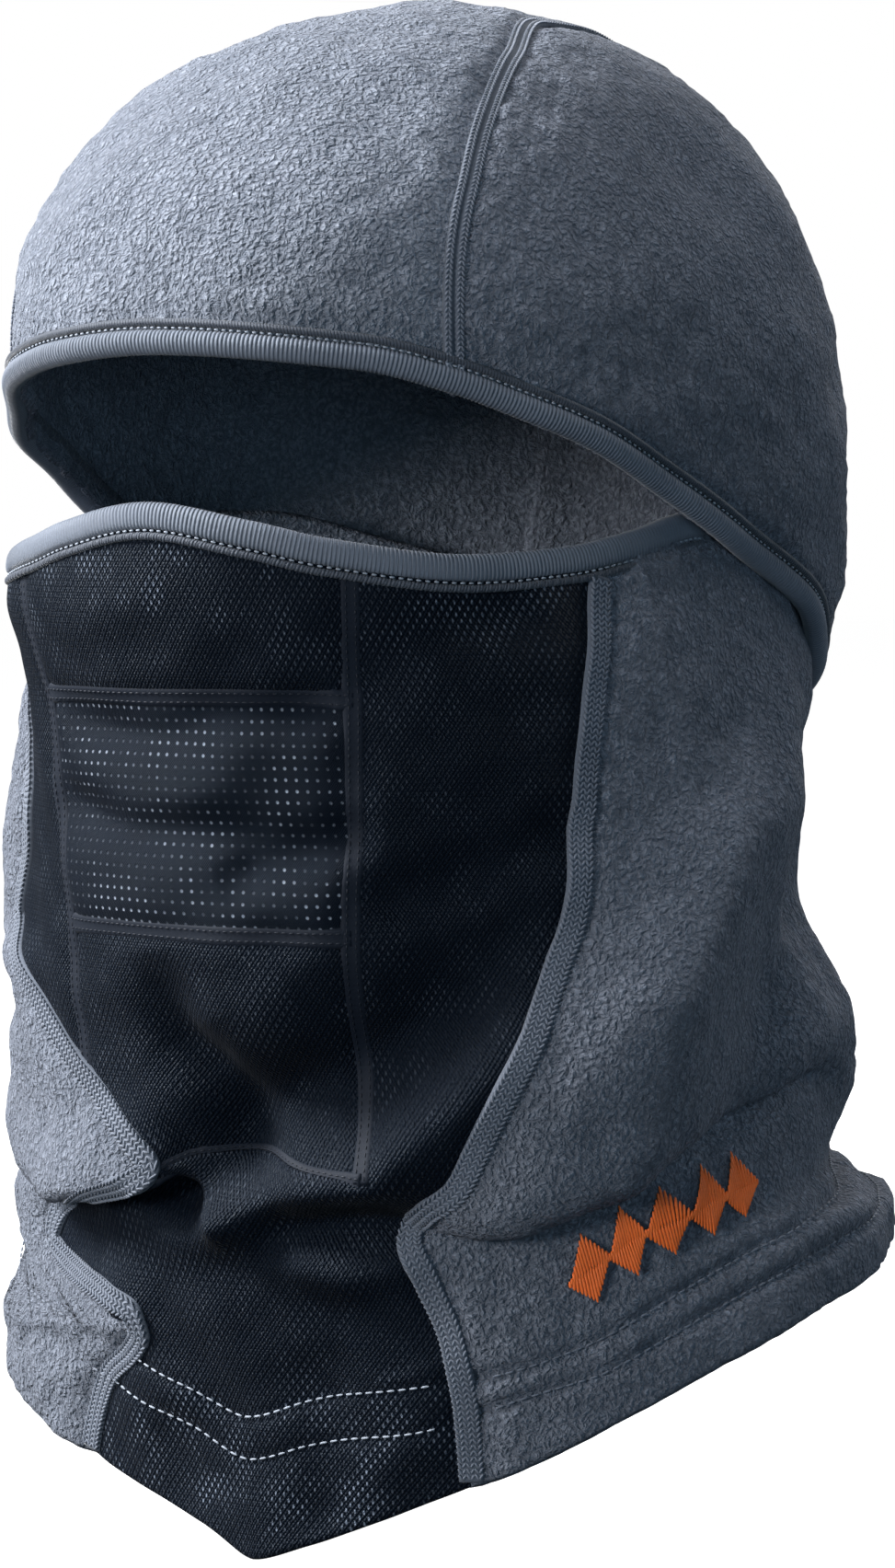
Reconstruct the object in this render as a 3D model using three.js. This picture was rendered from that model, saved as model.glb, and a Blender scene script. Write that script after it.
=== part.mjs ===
// A hinged winter balaclava: a fleece hood, a fleece neck tube and a mesh face mask, as worn on a head.
// Millimetres. +Z up, -Y the way the face looks, +X the wearer's left.
// The origin is inside the crown, where the top of the head bears.
import * as THREE from "three";
import { mergeVertices } from "three/addons/utils/BufferGeometryUtils.js";

const rad = THREE.MathUtils.degToRad;

// Cloth
const FLEECE = 3.0;
const MESH = 1.6;
const THREAD = 0.6;
const GAP = 0.3; // clearance between touching pieces
const LIFT = 0.6; // clearance under a tape or a sewn line laid on curved cloth

// Hood: a rounded head form about its centre, fuller than an ellipsoid
const HOOD_CENTRE = new THREE.Vector3(0, 15, -85);
const HOOD_HALF_WIDTH = 85;
const HOOD_FRONT = 128;
const HOOD_BACK = 86;
const HOOD_RISE = 88;
const HOOD_DROP = 116;
const HOOD_FULLNESS = 2.2;

// Neck tube and mask: half width, front reach and back reach at each height, with how round the front is
const TUBE = [
  { z: -90, half: 73.5, front: 107, back: 78, round: 2.05 },
  { z: -115, half: 74.5, front: 110, back: 76, round: 2.05 },
  { z: -150, half: 82, front: 104, back: 75, round: 2.05 },
  { z: -185, half: 86, front: 100, back: 80, round: 2.05 },
  { z: -215, half: 89, front: 95, back: 87, round: 2.05 },
  { z: -240, half: 91, front: 89, back: 92, round: 2.0 },
  { z: -262, half: 92, front: 84, back: 93, round: 1.95 },
  { z: -290, half: 98, front: 79, back: 99, round: 1.9 },
  { z: -345, half: 103, front: 72, back: 104, round: 1.75 },
];
const BACK_ROUND = 2.1;

// Edges as heights at an angle round the head: 0 is the nose, 90 the ear, 180 the nape
const BROW_EDGE = [
  [0, -76], [22, -78.5], [32, -82], [48, -92], [62, -106],
  [76, -117], [90, -126], [104, -135], [130, -149], [180, -162],
];
const MASK_EDGE = [
  [0, -110], [18, -114], [29, -117.5], [49, -121], [63, -119.5],
  [73, -116.5], [85, -112], [110, -112], [140, -120], [180, -132],
];
const HEM_EDGE = [
  [0, -338], [10, -332.5], [20, -326.5], [30, -320.5], [40, -315], [50, -308.5], [60, -302],
  [70, -296], [80, -291], [90, -287], [110, -281], [140, -276], [180, -275],
];

// Seams of the front, as distances from the middle at each height
const FLATLOCK_X = [
  [-90, 67.5], [-115, 69], [-145, 72.5], [-190, 72], [-220, 68], [-255, 61], [-290, 56], [-345, 52],
];
const INSERT_X = [[-90, 41], [-130, 40.5], [-170, 39.5], [-213, 37], [-250, 35], [-345, 32]];

// Crown seams, as distances from the middle on a meridian of the hood: 0 in front, 90 on top, 180 behind
const CROWN_SEAM_X = [
  [-20, 61], [8, 58.5], [27, 56], [40, 51.5], [61, 41], [84, 27.5], [130, 25], [180, 28], [240, 32],
];

// Heights of the seams across the front insert
const NOSE_BOTTOM = -150;
const MOUTH_BOTTOM = -200;
const BIB_TOP = -250;

// Trim: a folded tape has its whole depth, its lap over the cloth, the slot for the cloth and its own wall
const EDGE_GAP = 0.5;
const BINDING = { depth: 8, lap: 6, slot: 4.6, wall: 0.7 };
const NOSE_BINDING = { depth: 9.5, lap: 7.5, slot: 4.4, wall: 0.7 };
const MASK_CLOTH = 3; // the binding is as wide as it must be for the fleece it also wraps
const MASK_BINDING_END = 92;
const STITCH_INSET = 4.5;
const SEAM_WIDTH = 6;
const SEAM_RISE = 0.9;
const SEAM_SETBACK = 6; // degrees of meridian between a crown seam's end and the hood's edge
const INSERT_SEAM_WIDTH = 4;
const CROSS_SEAM_WIDTH = 5;
// Heights above the hem of the two rows of stitches, on the mesh in front and on the fleece behind
const HEM_ROWS = [
  { word: "lower", front: 22, back: 11 },
  { word: "upper", front: 31, back: 19 },
];
const HEM_SEAM_HEIGHT = -300; // where the flatlock seams cross the rows
const HEM_CLEAR = 4; // degrees kept clear of the flatlock seams
const MOTIF = { diamonds: 5, spread: 27, tall: 11, neck: 1.6, rise: 0.9, angle: 63, height: 30 };

const { clamp, lerp } = THREE.MathUtils;

// A smooth curve through [position, value] rows (monotone cubic, so it never overshoots).
function curve(rows) {
  const xs = rows.map((r) => r[0]);
  const ys = rows.map((r) => r[1]);
  const slope = xs.map((_, i) => {
    if (i === 0 || i === xs.length - 1) return 0;
    const before = (ys[i] - ys[i - 1]) / (xs[i] - xs[i - 1]);
    const after = (ys[i + 1] - ys[i]) / (xs[i + 1] - xs[i]);
    return before * after <= 0 ? 0 : (2 * before * after) / (before + after);
  });
  return (x) => {
    const q = clamp(x, Math.min(xs[0], xs.at(-1)), Math.max(xs[0], xs.at(-1)));
    let i = 0;
    while (i < xs.length - 2 && (xs[i + 1] - q) * (xs[1] - xs[0]) < 0) i += 1;
    const h = xs[i + 1] - xs[i];
    const t = (q - xs[i]) / h;
    return (
      ys[i] * (1 + 2 * t) * (1 - t) ** 2 +
      slope[i] * h * t * (1 - t) ** 2 +
      ys[i + 1] * t * t * (3 - 2 * t) +
      slope[i + 1] * h * t * t * (t - 1)
    );
  };
}

const station = (key) => curve(TUBE.map((s) => [s.z, s[key]]));
const half = station("half");
const front = station("front");
const back = station("back");
const round = station("round");
const browEdge = curve(BROW_EDGE);
const maskEdge = curve(MASK_EDGE);
const flatlockX = curve(FLATLOCK_X);
const insertX = curve(INSERT_X);
const seamX = curve(CROWN_SEAM_X);
const hemHeight = curve(HEM_EDGE);
const hemEdge = (angle) => hemHeight(Math.abs(angle));

// ---- Surfaces: each gives a point on the outside of the cloth and the outward normal there ----

function tubePoint(angle, z) {
  const s = Math.sin(rad(angle));
  const c = Math.cos(rad(angle));
  const power = 2 / (c > 0 ? round(z) : BACK_ROUND);
  const reach = c > 0 ? front(z) : back(z);
  return new THREE.Vector3(
    half(z) * Math.sign(s) * Math.abs(s) ** power,
    -reach * Math.sign(c) * Math.abs(c) ** power,
    z,
  );
}

function tubeAt(angle, z) {
  const step = 2.5;
  const around = tubePoint(angle + step, z).sub(tubePoint(angle - step, z));
  const up = tubePoint(angle, z + step).sub(tubePoint(angle, z - step));
  return { point: tubePoint(angle, z), normal: around.cross(up).normalize() };
}

// The angle at which the front half of the tube is x from the middle.
function angleAtX(x, z) {
  return THREE.MathUtils.radToDeg(Math.asin(Math.min(1, x / half(z)) ** (round(z) / 2)));
}

function hoodAt(direction) {
  const d = direction.clone().normalize();
  const reach = new THREE.Vector3(
    HOOD_HALF_WIDTH,
    d.y < 0 ? HOOD_FRONT : HOOD_BACK,
    d.z < 0 ? HOOD_DROP : HOOD_RISE,
  );
  const n = HOOD_FULLNESS;
  const shares = ["x", "y", "z"].map((k) => Math.abs(d[k]) / reach[k]);
  const size = shares.reduce((sum, v) => sum + v ** n, 0) ** (-1 / n);
  const slope = ["x", "y", "z"].map((k, i) => (Math.sign(d[k]) * (shares[i] * size) ** (n - 1)) / reach[k]);
  return {
    point: HOOD_CENTRE.clone().addScaledVector(d, size),
    normal: new THREE.Vector3(...slope).normalize(),
  };
}

// The point of the hood at an angle round the head and a height.
function hoodAtHeight(angle, z) {
  let low = 0.02;
  let high = Math.PI - 0.02;
  for (let i = 0; i < 40; i += 1) {
    const tilt = (low + high) / 2;
    if (hoodAt(hoodDirection(angle, tilt)).point.z > z) low = tilt;
    else high = tilt;
  }
  return hoodAt(hoodDirection(angle, low));
}

function hoodDirection(angle, tilt) {
  return new THREE.Vector3(
    Math.sin(tilt) * Math.sin(rad(angle)),
    -Math.sin(tilt) * Math.cos(rad(angle)),
    Math.cos(tilt),
  );
}

// ---- Solids ----

// A closed mesh from corner points and four-cornered faces: coinciding corners are merged and faces
// turned outward.
function solid(points, quads) {
  const triangles = [];
  let volume = 0;
  for (const [a, b, c, d] of quads) {
    for (const tri of [[a, b, c], [a, c, d]]) {
      const [p, q, r] = tri.map((i) => points[i]);
      if (p.distanceTo(q) < 1e-3 || q.distanceTo(r) < 1e-3 || r.distanceTo(p) < 1e-3) continue;
      triangles.push(...tri);
      volume += p.dot(q.clone().cross(r)) / 6;
    }
  }
  const geometry = new THREE.BufferGeometry();
  geometry.setAttribute("position", new THREE.Float32BufferAttribute(points.flatMap((p) => p.toArray()), 3));
  geometry.setIndex(volume > 0 ? triangles : triangles.toReversed());
  const merged = mergeVertices(geometry, 1e-3);
  merged.computeVertexNormals();
  return merged;
}

// A piece of cloth from a grid of cells: at(i, j) is the surface, and the cloth fills from low to high
// off it.
// Cells for which skip(i, j) holds are left out, with walls round them.
function cloth(at, columns, rows, low, high, skip = () => false) {
  const points = [];
  for (const lift of [high, low]) {
    for (let j = 0; j <= rows; j += 1) {
      for (let i = 0; i <= columns; i += 1) {
        const { point, normal } = at(i, j);
        points.push(point.clone().addScaledVector(normal, lift));
      }
    }
  }
  const layer = (columns + 1) * (rows + 1);
  const id = (side, i, j) => side * layer + j * (columns + 1) + i;
  const open = (i, j) => i < 0 || j < 0 || i >= columns || j >= rows || skip(i, j);
  const quads = [];
  for (let j = 0; j < rows; j += 1) {
    for (let i = 0; i < columns; i += 1) {
      if (open(i, j)) continue;
      const corners = [[i, j], [i, j + 1], [i + 1, j + 1], [i + 1, j]];
      const beyond = [[i - 1, j], [i, j + 1], [i + 1, j], [i, j - 1]];
      quads.push(corners.map(([u, v]) => id(0, u, v)), corners.toReversed().map(([u, v]) => id(1, u, v)));
      beyond.forEach(([u, v], side) => {
        if (!open(u, v)) return;
        const [a, b] = [corners[side], corners[(side + 1) % 4]];
        quads.push([id(0, ...b), id(0, ...a), id(1, ...a), id(1, ...b)]);
      });
    }
  }
  return solid(points, quads);
}

// A section swept along stations, each with a point, the outward normal and the direction into the cloth.
function sweep(stations, section, closed) {
  const size = section.length;
  const count = stations.length;
  const points = stations.flatMap(({ point, normal, inward }) =>
    section.map(([out, along]) => point.clone().addScaledVector(normal, out).addScaledVector(inward, along)),
  );
  const quads = [];
  for (let k = 0; k < (closed ? count : count - 1); k += 1) {
    const next = (k + 1) % count;
    for (let i = 0; i < size; i += 1) {
      const j = (i + 1) % size;
      quads.push([k * size + i, next * size + i, next * size + j, k * size + j]);
    }
  }
  if (!closed) {
    const shape = section.map(([u, v]) => new THREE.Vector2(u, v));
    const clockwise = THREE.ShapeUtils.isClockWise(shape);
    const last = (count - 1) * size;
    for (const face of THREE.ShapeUtils.triangulateShape(shape, [])) {
      const [a, b, c] = clockwise ? face : face.toReversed();
      quads.push([c, b, a, c], [last + a, last + b, last + c, last + a]);
    }
  }
  return solid(points, quads);
}

// Stations along an edge or a seam from surface samples. The cloth lies on the side that sideways says,
// 1 or -1.
function stations(samples, closed, sideways) {
  const count = samples.length;
  return samples.map(({ point, normal }, i) => {
    const next = samples[closed ? (i + 1) % count : Math.min(i + 1, count - 1)];
    const last = samples[closed ? (i + count - 1) % count : Math.max(i - 1, 0)];
    const along = next.point.clone().sub(last.point).normalize();
    const inward = normal.clone().cross(along).normalize().multiplyScalar(sideways);
    return { point, normal, inward };
  });
}

// A tape folded over an edge: distances out from the cloth's outside, and from the edge into the cloth.
function foldedTape({ depth, lap, slot, wall }, clothThickness) {
  const middle = -clothThickness / 2;
  const inner = slot / 2;
  const outer = inner + wall;
  return [
    [middle + outer, lap], [middle + inner, lap],
    [middle + inner, -EDGE_GAP], [middle - inner, -EDGE_GAP],
    [middle - inner, lap], [middle - outer, lap], [middle - outer, -EDGE_GAP],
    [middle - outer / 2, lap - depth], [middle + outer / 2, lap - depth],
    [middle + outer, -EDGE_GAP],
  ];
}

// A sewn line that lies just outside the surface.
function sewnLine(lift, along = 0) {
  const r = THREAD / 2;
  return [[lift, along - r], [lift + THREAD, along - r], [lift + THREAD, along + r], [lift, along + r]];
}

const steps = (count, from, to) => Array.from({ length: count + 1 }, (_, i) => lerp(from, to, i / count));
const group = new THREE.Group();

function add(name, geometry, color, roughness) {
  const finish = new THREE.MeshStandardMaterial({ color, roughness, metalness: 0 });
  const piece = new THREE.Mesh(geometry, finish);
  piece.name = name;
  group.add(piece);
}

// A piece and its mirror image, as NAME_left (+X) and NAME_right (-X).
function addPair(name, geometry, color, roughness) {
  const points = geometry.getAttribute("position");
  const corners = Array.from({ length: points.count }, (_, i) =>
    new THREE.Vector3(-points.getX(i), points.getY(i), points.getZ(i)),
  );
  const faces = Array.from({ length: geometry.index.count / 3 }, (_, i) => {
    const [a, b, c] = geometry.index.array.slice(3 * i, 3 * i + 3);
    return [a, b, c, a];
  });
  add(`${name}_left`, geometry, color, roughness);
  add(`${name}_right`, solid(corners, faces), color, roughness);
}

// ---- Hood ----

// The point of the hood a distance x from the middle, on a meridian: 0 in front, 90 on top, 180 behind.
function hoodAcross(x, meridian) {
  const c = Math.cos(rad(meridian));
  const s = Math.sin(rad(meridian));
  const n = HOOD_FULLNESS;
  const reachY = c > 0 ? HOOD_FRONT : HOOD_BACK;
  const reachZ = s > 0 ? HOOD_RISE : HOOD_DROP;
  const share = (Math.abs(c) / reachY) ** n + (Math.abs(s) / reachZ) ** n;
  const size = ((1 - Math.abs(x / HOOD_HALF_WIDTH) ** n) / share) ** (1 / n);
  return hoodAt(new THREE.Vector3(x, -c * size, s * size));
}

const angleOf = (point) => THREE.MathUtils.radToDeg(Math.atan2(Math.abs(point.x), HOOD_CENTRE.y - point.y));

// The meridian at which a line running over the hood, x(meridian) from the middle, meets the hood's edge.
function edgeMeridian(x, inside, outside) {
  let [kept, cut] = [inside, outside];
  for (let i = 0; i < 40; i += 1) {
    const meridian = (kept + cut) / 2;
    const { point } = hoodAcross(x(meridian), meridian);
    if (point.z > browEdge(angleOf(point))) kept = meridian;
    else cut = meridian;
  }
  return kept;
}

function crownPanel() {
  const columns = 14;
  const rows = SEAM_STEPS;
  const at = (i, j) => {
    const share = (2 * i) / columns - 1;
    const x = (meridian) => share * (seamX(meridian) - GAP / 2);
    const start = edgeMeridian(x, 60, -30);
    const end = edgeMeridian(x, 120, 260);
    const meridian = lerp(start, end, j / rows);
    return hoodAcross(x(meridian), meridian);
  };
  return cloth(at, columns, rows, -FLEECE, 0);
}

const SEAM_STEPS = 28;
const SEAM_START = edgeMeridian(seamX, 60, -30);
const SEAM_END = edgeMeridian(seamX, 120, 260);

function sidePanel() {
  const columns = SEAM_STEPS;
  const rows = 9;
  const ends = [SEAM_START, SEAM_END].map((m) => angleOf(hoodAcross(seamX(m), m).point));
  const at = (i, j) => {
    const meridian = lerp(SEAM_START, SEAM_END, i / columns);
    const angle = lerp(ends[0] + 0.2, ends[1] - 0.2, i / columns);
    const seam = hoodAcross(seamX(meridian) + GAP / 2, meridian).point.sub(HOOD_CENTRE);
    const edge = hoodAtHeight(angle, browEdge(angle)).point.sub(HOOD_CENTRE);
    return hoodAt(seam.lerp(edge, j / rows));
  };
  return cloth(at, columns, rows, -FLEECE, 0);
}

// A tape laid over a seam that runs over the hood, clear of the binding at both ends.
function crownSeam() {
  const rows = 32;
  const at = (i, j) => {
    const meridian = lerp(SEAM_START + SEAM_SETBACK, SEAM_END - SEAM_SETBACK, j / rows);
    return hoodAcross(seamX(meridian) + (i - 1) * (SEAM_WIDTH / 2), meridian);
  };
  return cloth(at, 2, rows, LIFT, LIFT + SEAM_RISE);
}

function hoodEdgeSamples() {
  return steps(89, -180, 176).map((angle) => hoodAtHeight(angle, browEdge(Math.abs(angle))));
}

const hoodEdge = stations(hoodEdgeSamples(), true, 1);
const stitchLift = (tape, thickness) => tape.slot / 2 + tape.wall - thickness / 2 + GAP;

add("hood_crown_panel", crownPanel(), 0x626a77, 0.95);
addPair("hood_side_panel", sidePanel(), 0x5a626f, 0.95);
addPair("hood_crown_seam", crownSeam(), 0x4a515e, 0.85);
add("hood_edge_binding", sweep(hoodEdge, foldedTape(BINDING, FLEECE), true), 0x3d4451, 0.7);
const hoodLine = sewnLine(stitchLift(BINDING, FLEECE), STITCH_INSET);
add("hood_binding_stitching", sweep(hoodEdge, hoodLine, true), 0x8a93a1, 0.6);

// ---- Mask and neck ----

// The surface of the tube between two lines that run down it, from a top edge to a bottom edge.
function between(start, end, top, bottom) {
  return (s, t) => {
    let z = -200;
    let angle = 0;
    for (let i = 0; i < 12; i += 1) {
      angle = lerp(start(z), end(z), s);
      z = lerp(top(angle), bottom(angle), t);
    }
    return tubeAt(angle, z);
  };
}

const panel = (lines, columns, rows, low, high) => {
  const at = between(...lines);
  return cloth((i, j) => at(i / columns, j / rows), columns, rows, low, high);
};

// A line down the front at a distance from the middle, moved aside by offset.
const lineAt = (distance, offset) => (z) => angleAtX(distance(z) + offset, z);
const opposite = (line) => (z) => -line(z);
const level = (height) => () => height;
const maskTop = (angle) => maskEdge(Math.abs(angle));

function insertPanel(top, bottom, rows) {
  const side = lineAt(insertX, -GAP / 2);
  return panel([opposite(side), side, top, bottom], 8, rows, -MESH, 0);
}

// The front panel is a U: it runs down both sides of the insert and across below it.
function frontPanel() {
  const inner = lineAt(insertX, GAP / 2);
  const outer = lineAt(flatlockX, -GAP / 2);
  const cheekColumns = 3;
  const insertColumns = 6;
  const cheekRows = 13;
  const bibRows = 9;
  const lines = [opposite(outer), opposite(inner), inner, outer];
  const counts = [cheekColumns, insertColumns, cheekColumns];
  const columns = 2 * cheekColumns + insertColumns;
  const at = (i, j) => {
    let part = 0;
    let left = i;
    while (left > counts[part]) {
      left -= counts[part];
      part += 1;
    }
    const cheek = j <= cheekRows;
    const rows = cheek ? [maskTop, level(BIB_TOP)] : [level(BIB_TOP), hemEdge];
    const t = cheek ? j / cheekRows : (j - cheekRows) / bibRows;
    return between(lines[part], lines[part + 1], ...rows)(left / counts[part], t);
  };
  const hole = (i, j) => j < cheekRows && i >= cheekColumns && i < columns - cheekColumns;
  return cloth(at, columns, cheekRows + bibRows, -MESH, 0, hole);
}

// The fleece goes round the back from one flatlock seam to the other; its upper edge is inside the hood.
function fleeceWrap() {
  const edge = lineAt(flatlockX, GAP / 2);
  return panel([edge, (z) => 360 - edge(z), foldedTop, (a) => hemEdge(foldAngle(a))], 34, 14, -FLEECE, 0);
}

const foldAngle = (angle) => (angle > 180 ? 360 - angle : angle);
const foldedTop = (angle) => maskEdge(foldAngle(angle));

// A tape laid on a line that runs down the front, from a setback below one edge to a setback above the other.
function downTape(distance, width, top, bottom, rows) {
  const lines = [lineAt(distance, -width / 2), lineAt(distance, width / 2), top, bottom];
  return panel(lines, 2, rows, LIFT, LIFT + SEAM_RISE);
}

// A tape laid across the insert between its two side tapes.
function crossTape(height) {
  const side = lineAt(insertX, -INSERT_SEAM_WIDTH / 2 - GAP);
  const reach = CROSS_SEAM_WIDTH / 2;
  const lines = [opposite(side), side, level(height + reach), level(height - reach)];
  return panel(lines, 8, 1, LIFT, LIFT + SEAM_RISE);
}

const belowBinding = (angle) => maskTop(angle) - NOSE_BINDING.lap - 1;
const hemSamples = (from, to, count, height) =>
  steps(count, from, to).map((angle) => tubeAt(angle, hemEdge(foldAngle(Math.abs(angle))) + height));

const maskEdgeSamples = steps(44, -MASK_BINDING_END, MASK_BINDING_END).map((a) => tubeAt(a, maskTop(a)));
const maskRim = stations(maskEdgeSamples, false, -1);
const noseLine = sewnLine(stitchLift(NOSE_BINDING, MESH), NOSE_BINDING.lap - 1.5);

add("mask_edge_binding", sweep(maskRim, foldedTape(NOSE_BINDING, MASK_CLOTH), false), 0x4a515f, 0.7);
add("mask_binding_stitching", sweep(maskRim.slice(1, -1), noseLine, false), 0x9aa3b0, 0.6);
add("nose_panel", insertPanel(maskTop, level(NOSE_BOTTOM + GAP / 2), 5), 0x1c222c, 0.75);
const mouthPanel = insertPanel(level(NOSE_BOTTOM - GAP / 2), level(MOUTH_BOTTOM + GAP / 2), 5);
add("mouth_panel", mouthPanel, 0x262c37, 0.75);
add("chin_panel", insertPanel(level(MOUTH_BOTTOM - GAP / 2), level(BIB_TOP + GAP), 5), 0x1a202a, 0.75);
add("front_mesh_panel", frontPanel(), 0x161c26, 0.75);
add("neck_fleece_wrap", fleeceWrap(), 0x565d6a, 0.95);
const insertSeam = downTape(insertX, INSERT_SEAM_WIDTH, belowBinding, level(BIB_TOP + INSERT_SEAM_WIDTH), 12);
const flatlockSeam = downTape(flatlockX, SEAM_WIDTH, belowBinding, (a) => hemEdge(a) + 1, 24);
addPair("insert_seam", insertSeam, 0x11161f, 0.7);
addPair("flatlock_seam", flatlockSeam, 0x59616e, 0.8);
add("nose_mouth_seam", crossTape(NOSE_BOTTOM), 0x11161f, 0.7);
add("mouth_chin_seam", crossTape(MOUTH_BOTTOM), 0x11161f, 0.7);
add("chin_bib_seam", crossTape(BIB_TOP), 0x11161f, 0.7);

// ---- Hem and motif ----

for (const { word, front, back } of HEM_ROWS) {
  const edge = lineAt(flatlockX, 0)(HEM_SEAM_HEIGHT);
  const onMesh = hemSamples(-edge + HEM_CLEAR, edge - HEM_CLEAR, 16, front);
  const onFleece = hemSamples(edge + HEM_CLEAR, 360 - edge - HEM_CLEAR, 48, back);
  const sewn = (samples) => sweep(stations(samples, false, 1), sewnLine(LIFT), false);
  add(`hem_front_stitching_${word}`, sewn(onMesh), 0x8d96a4, 0.6);
  add(`hem_back_stitching_${word}`, sewn(onFleece), 0x3c434f, 0.8);
}

// A chain of diamonds, point to point, sewn along the hem.
function diamondChain() {
  const columns = 2 * MOTIF.diamonds;
  const at = (i, j) => {
    const middle = MOTIF.angle + (i / columns - 0.5) * MOTIF.spread;
    const reach = i % 2 ? MOTIF.tall / 2 : MOTIF.neck / 2;
    const height = hemEdge(middle) + MOTIF.height + (1 - j) * reach;
    return tubeAt(middle, height);
  };
  return cloth(at, columns, 2, LIFT, LIFT + MOTIF.rise);
}
add("embroidered_diamonds", diamondChain(), 0xd9622b, 0.5);

export default group;
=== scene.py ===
# A hinged winter balaclava, as worn on a head that isn't shown.
# Shapes are worked out in millimetres (+Z up, -Y the way the face looks) and made in metres.
import math

import bpy
import numpy as np
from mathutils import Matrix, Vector


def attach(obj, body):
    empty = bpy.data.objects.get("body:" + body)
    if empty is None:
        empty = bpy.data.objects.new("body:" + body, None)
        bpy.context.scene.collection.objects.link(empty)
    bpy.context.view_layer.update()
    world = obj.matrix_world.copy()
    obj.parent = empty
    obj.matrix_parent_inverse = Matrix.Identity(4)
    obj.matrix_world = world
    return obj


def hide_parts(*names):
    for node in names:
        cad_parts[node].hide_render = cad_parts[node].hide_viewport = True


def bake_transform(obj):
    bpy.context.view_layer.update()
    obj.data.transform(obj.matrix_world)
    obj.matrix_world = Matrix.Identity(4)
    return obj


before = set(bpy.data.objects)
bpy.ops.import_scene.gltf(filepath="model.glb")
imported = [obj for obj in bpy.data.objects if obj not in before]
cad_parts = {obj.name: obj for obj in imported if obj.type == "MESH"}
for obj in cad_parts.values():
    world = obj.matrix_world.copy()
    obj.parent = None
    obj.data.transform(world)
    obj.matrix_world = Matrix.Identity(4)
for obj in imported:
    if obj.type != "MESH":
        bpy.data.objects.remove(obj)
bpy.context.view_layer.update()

MM = 0.001

# ---- The garment's form, as in the CAD model ----

HOOD_CENTRE = np.array([0.0, 15.0, -85.0])
HOOD_HALF_WIDTH = 84.0
HOOD_FRONT = 127.0
HOOD_BACK = 80.0
HOOD_RISE = 87.0
HOOD_DROP = 116.0
HOOD_FULLNESS = 2.2
FRONT_FLARE = 1.0  # the far side of the hood's opening stands off the face
CROWN_LEAN = np.array([-2.4, -1.8, 0.0])  # the crown sags towards the far front
BACK_ROUND = 2.1

TUBE = [  # height, half width, front reach, back reach, roundness of the front
    (-90, 73.5, 107, 78, 2.05), (-115, 74.5, 110, 76, 2.05), (-150, 82, 104, 75, 2.05),
    (-185, 86, 100, 80, 2.05), (-215, 89, 95, 87, 2.05), (-240, 91, 89, 92, 2.0),
    (-262, 92, 84, 93, 1.95), (-290, 98, 79, 99, 1.9), (-345, 103, 72, 104, 1.75),
]
BROW_EDGE = [(0, -76), (22, -79.5), (32, -84.5), (40, -90), (48, -95.5), (62, -106.5), (76, -117), (90, -126),
             (104, -136), (116, -146), (130, -153), (180, -162)]
FAR_BROW = [(0, -76), (12, -78), (22, -82), (32, -88.5), (42, -95), (52, -101.5), (62, -109), (72, -117), (84,
    -125), (96, -131), (104, -135), (130, -149), (180, -162)]
MASK_EDGE = [(0, -110), (18, -114), (29, -117.5), (49, -121), (63, -119.5), (73, -116.5), (85, -112), (110,
    -112), (140, -120), (180, -132)]
NEAR_HEM = [(0, -337.7), (10, -333.5), (20, -327), (30, -320), (40, -313), (50, -305), (60, -298), (70, -292),
            (80, -287.5), (90, -284), (100, -281), (120, -277), (150, -275), (180, -275)]
FAR_HEM = [(0, -337.7), (10, -331.5), (20, -326), (30, -320.5), (40, -315.5), (50, -309.5), (60, -303),
           (70, -296.5), (80, -291), (90, -287), (110, -281.5), (130, -278), (150, -275), (180, -275)]
CROWN_SEAM_X = [(-20, 61), (8, 58.5), (27, 56), (40, 51.5), (61, 41), (84, 27.5), (130, 25), (180, 28), (240,
    32)]

# Lines down the front as (height, angle): the seams between mesh and fleece, and those of the insert
NEAR_SEAM = [(-90, 68), (-116, 68.5), (-132, 66), (-148, 62.5), (-164, 60), (-180, 58), (-196, 55.5), (-208,
    51.5), (-220, 47), (-232, 42), (-244, 37.5), (-250, 35), (-256, 30.5), (-264, 27.8), (-268, 27.2), (-276,
    28.8), (-288, 31.2), (-304, 32), (-345, 32)]
FAR_SEAM = [(-90, 66), (-116, 61), (-140, 55), (-160, 49), (-178, 46), (-193, 49), (-200, 50.5), (-207, 46),
    (-213, 40), (-220, 34), (-229, 27), (-238, 18), (-243, 12.5), (-247, 10.5), (-250, 14), (-253, 22), (-258,
    28), (-265, 34), (-271, 41), (-276, 43), (-279.5, 36), (-282, 23), (-285, 17), (-290, 16.5), (-295, 19.5),
    (-301, 25), (-310, 29), (-320, 31.3), (-345, 33)]
INSERT_X = [(-90, 41), (-130, 40.5), (-170, 39.5), (-213, 37), (-250, 35), (-345, 32)]
NOSE_BOTTOM = -150.0
MOUTH_BOTTOM = -200.0
BIB_TOP = -250.0
MASK_BINDING_END = 92.0

FLEECE = 2.6
MESH = 1.1
DEGREE = 1.55  # millimetres round the neck per degree, for laying out folds


def curve(rows):
    """A smooth curve through (position, value) rows, which never overshoots."""
    rows = sorted(rows)
    xs, ys = (np.array(c, float) for c in zip(*rows))
    step = np.diff(xs)
    rate = np.diff(ys) / step
    slope = np.zeros(len(xs))
    for i in range(1, len(xs) - 1):
        a, b = rate[i - 1], rate[i]
        slope[i] = 0 if a * b <= 0 else 2 * a * b / (a + b)

    def at(x):
        q = np.clip(np.asarray(x, float), xs[0], xs[-1])
        i = np.clip(np.searchsorted(xs, q, side="right") - 1, 0, len(xs) - 2)
        h = step[i]
        t = (q - xs[i]) / h
        return (ys[i] * (1 + 2 * t) * (1 - t) ** 2 + slope[i] * h * t * (1 - t) ** 2
                + ys[i + 1] * t * t * (3 - 2 * t) + slope[i + 1] * h * t * t * (t - 1))
    return at


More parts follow.
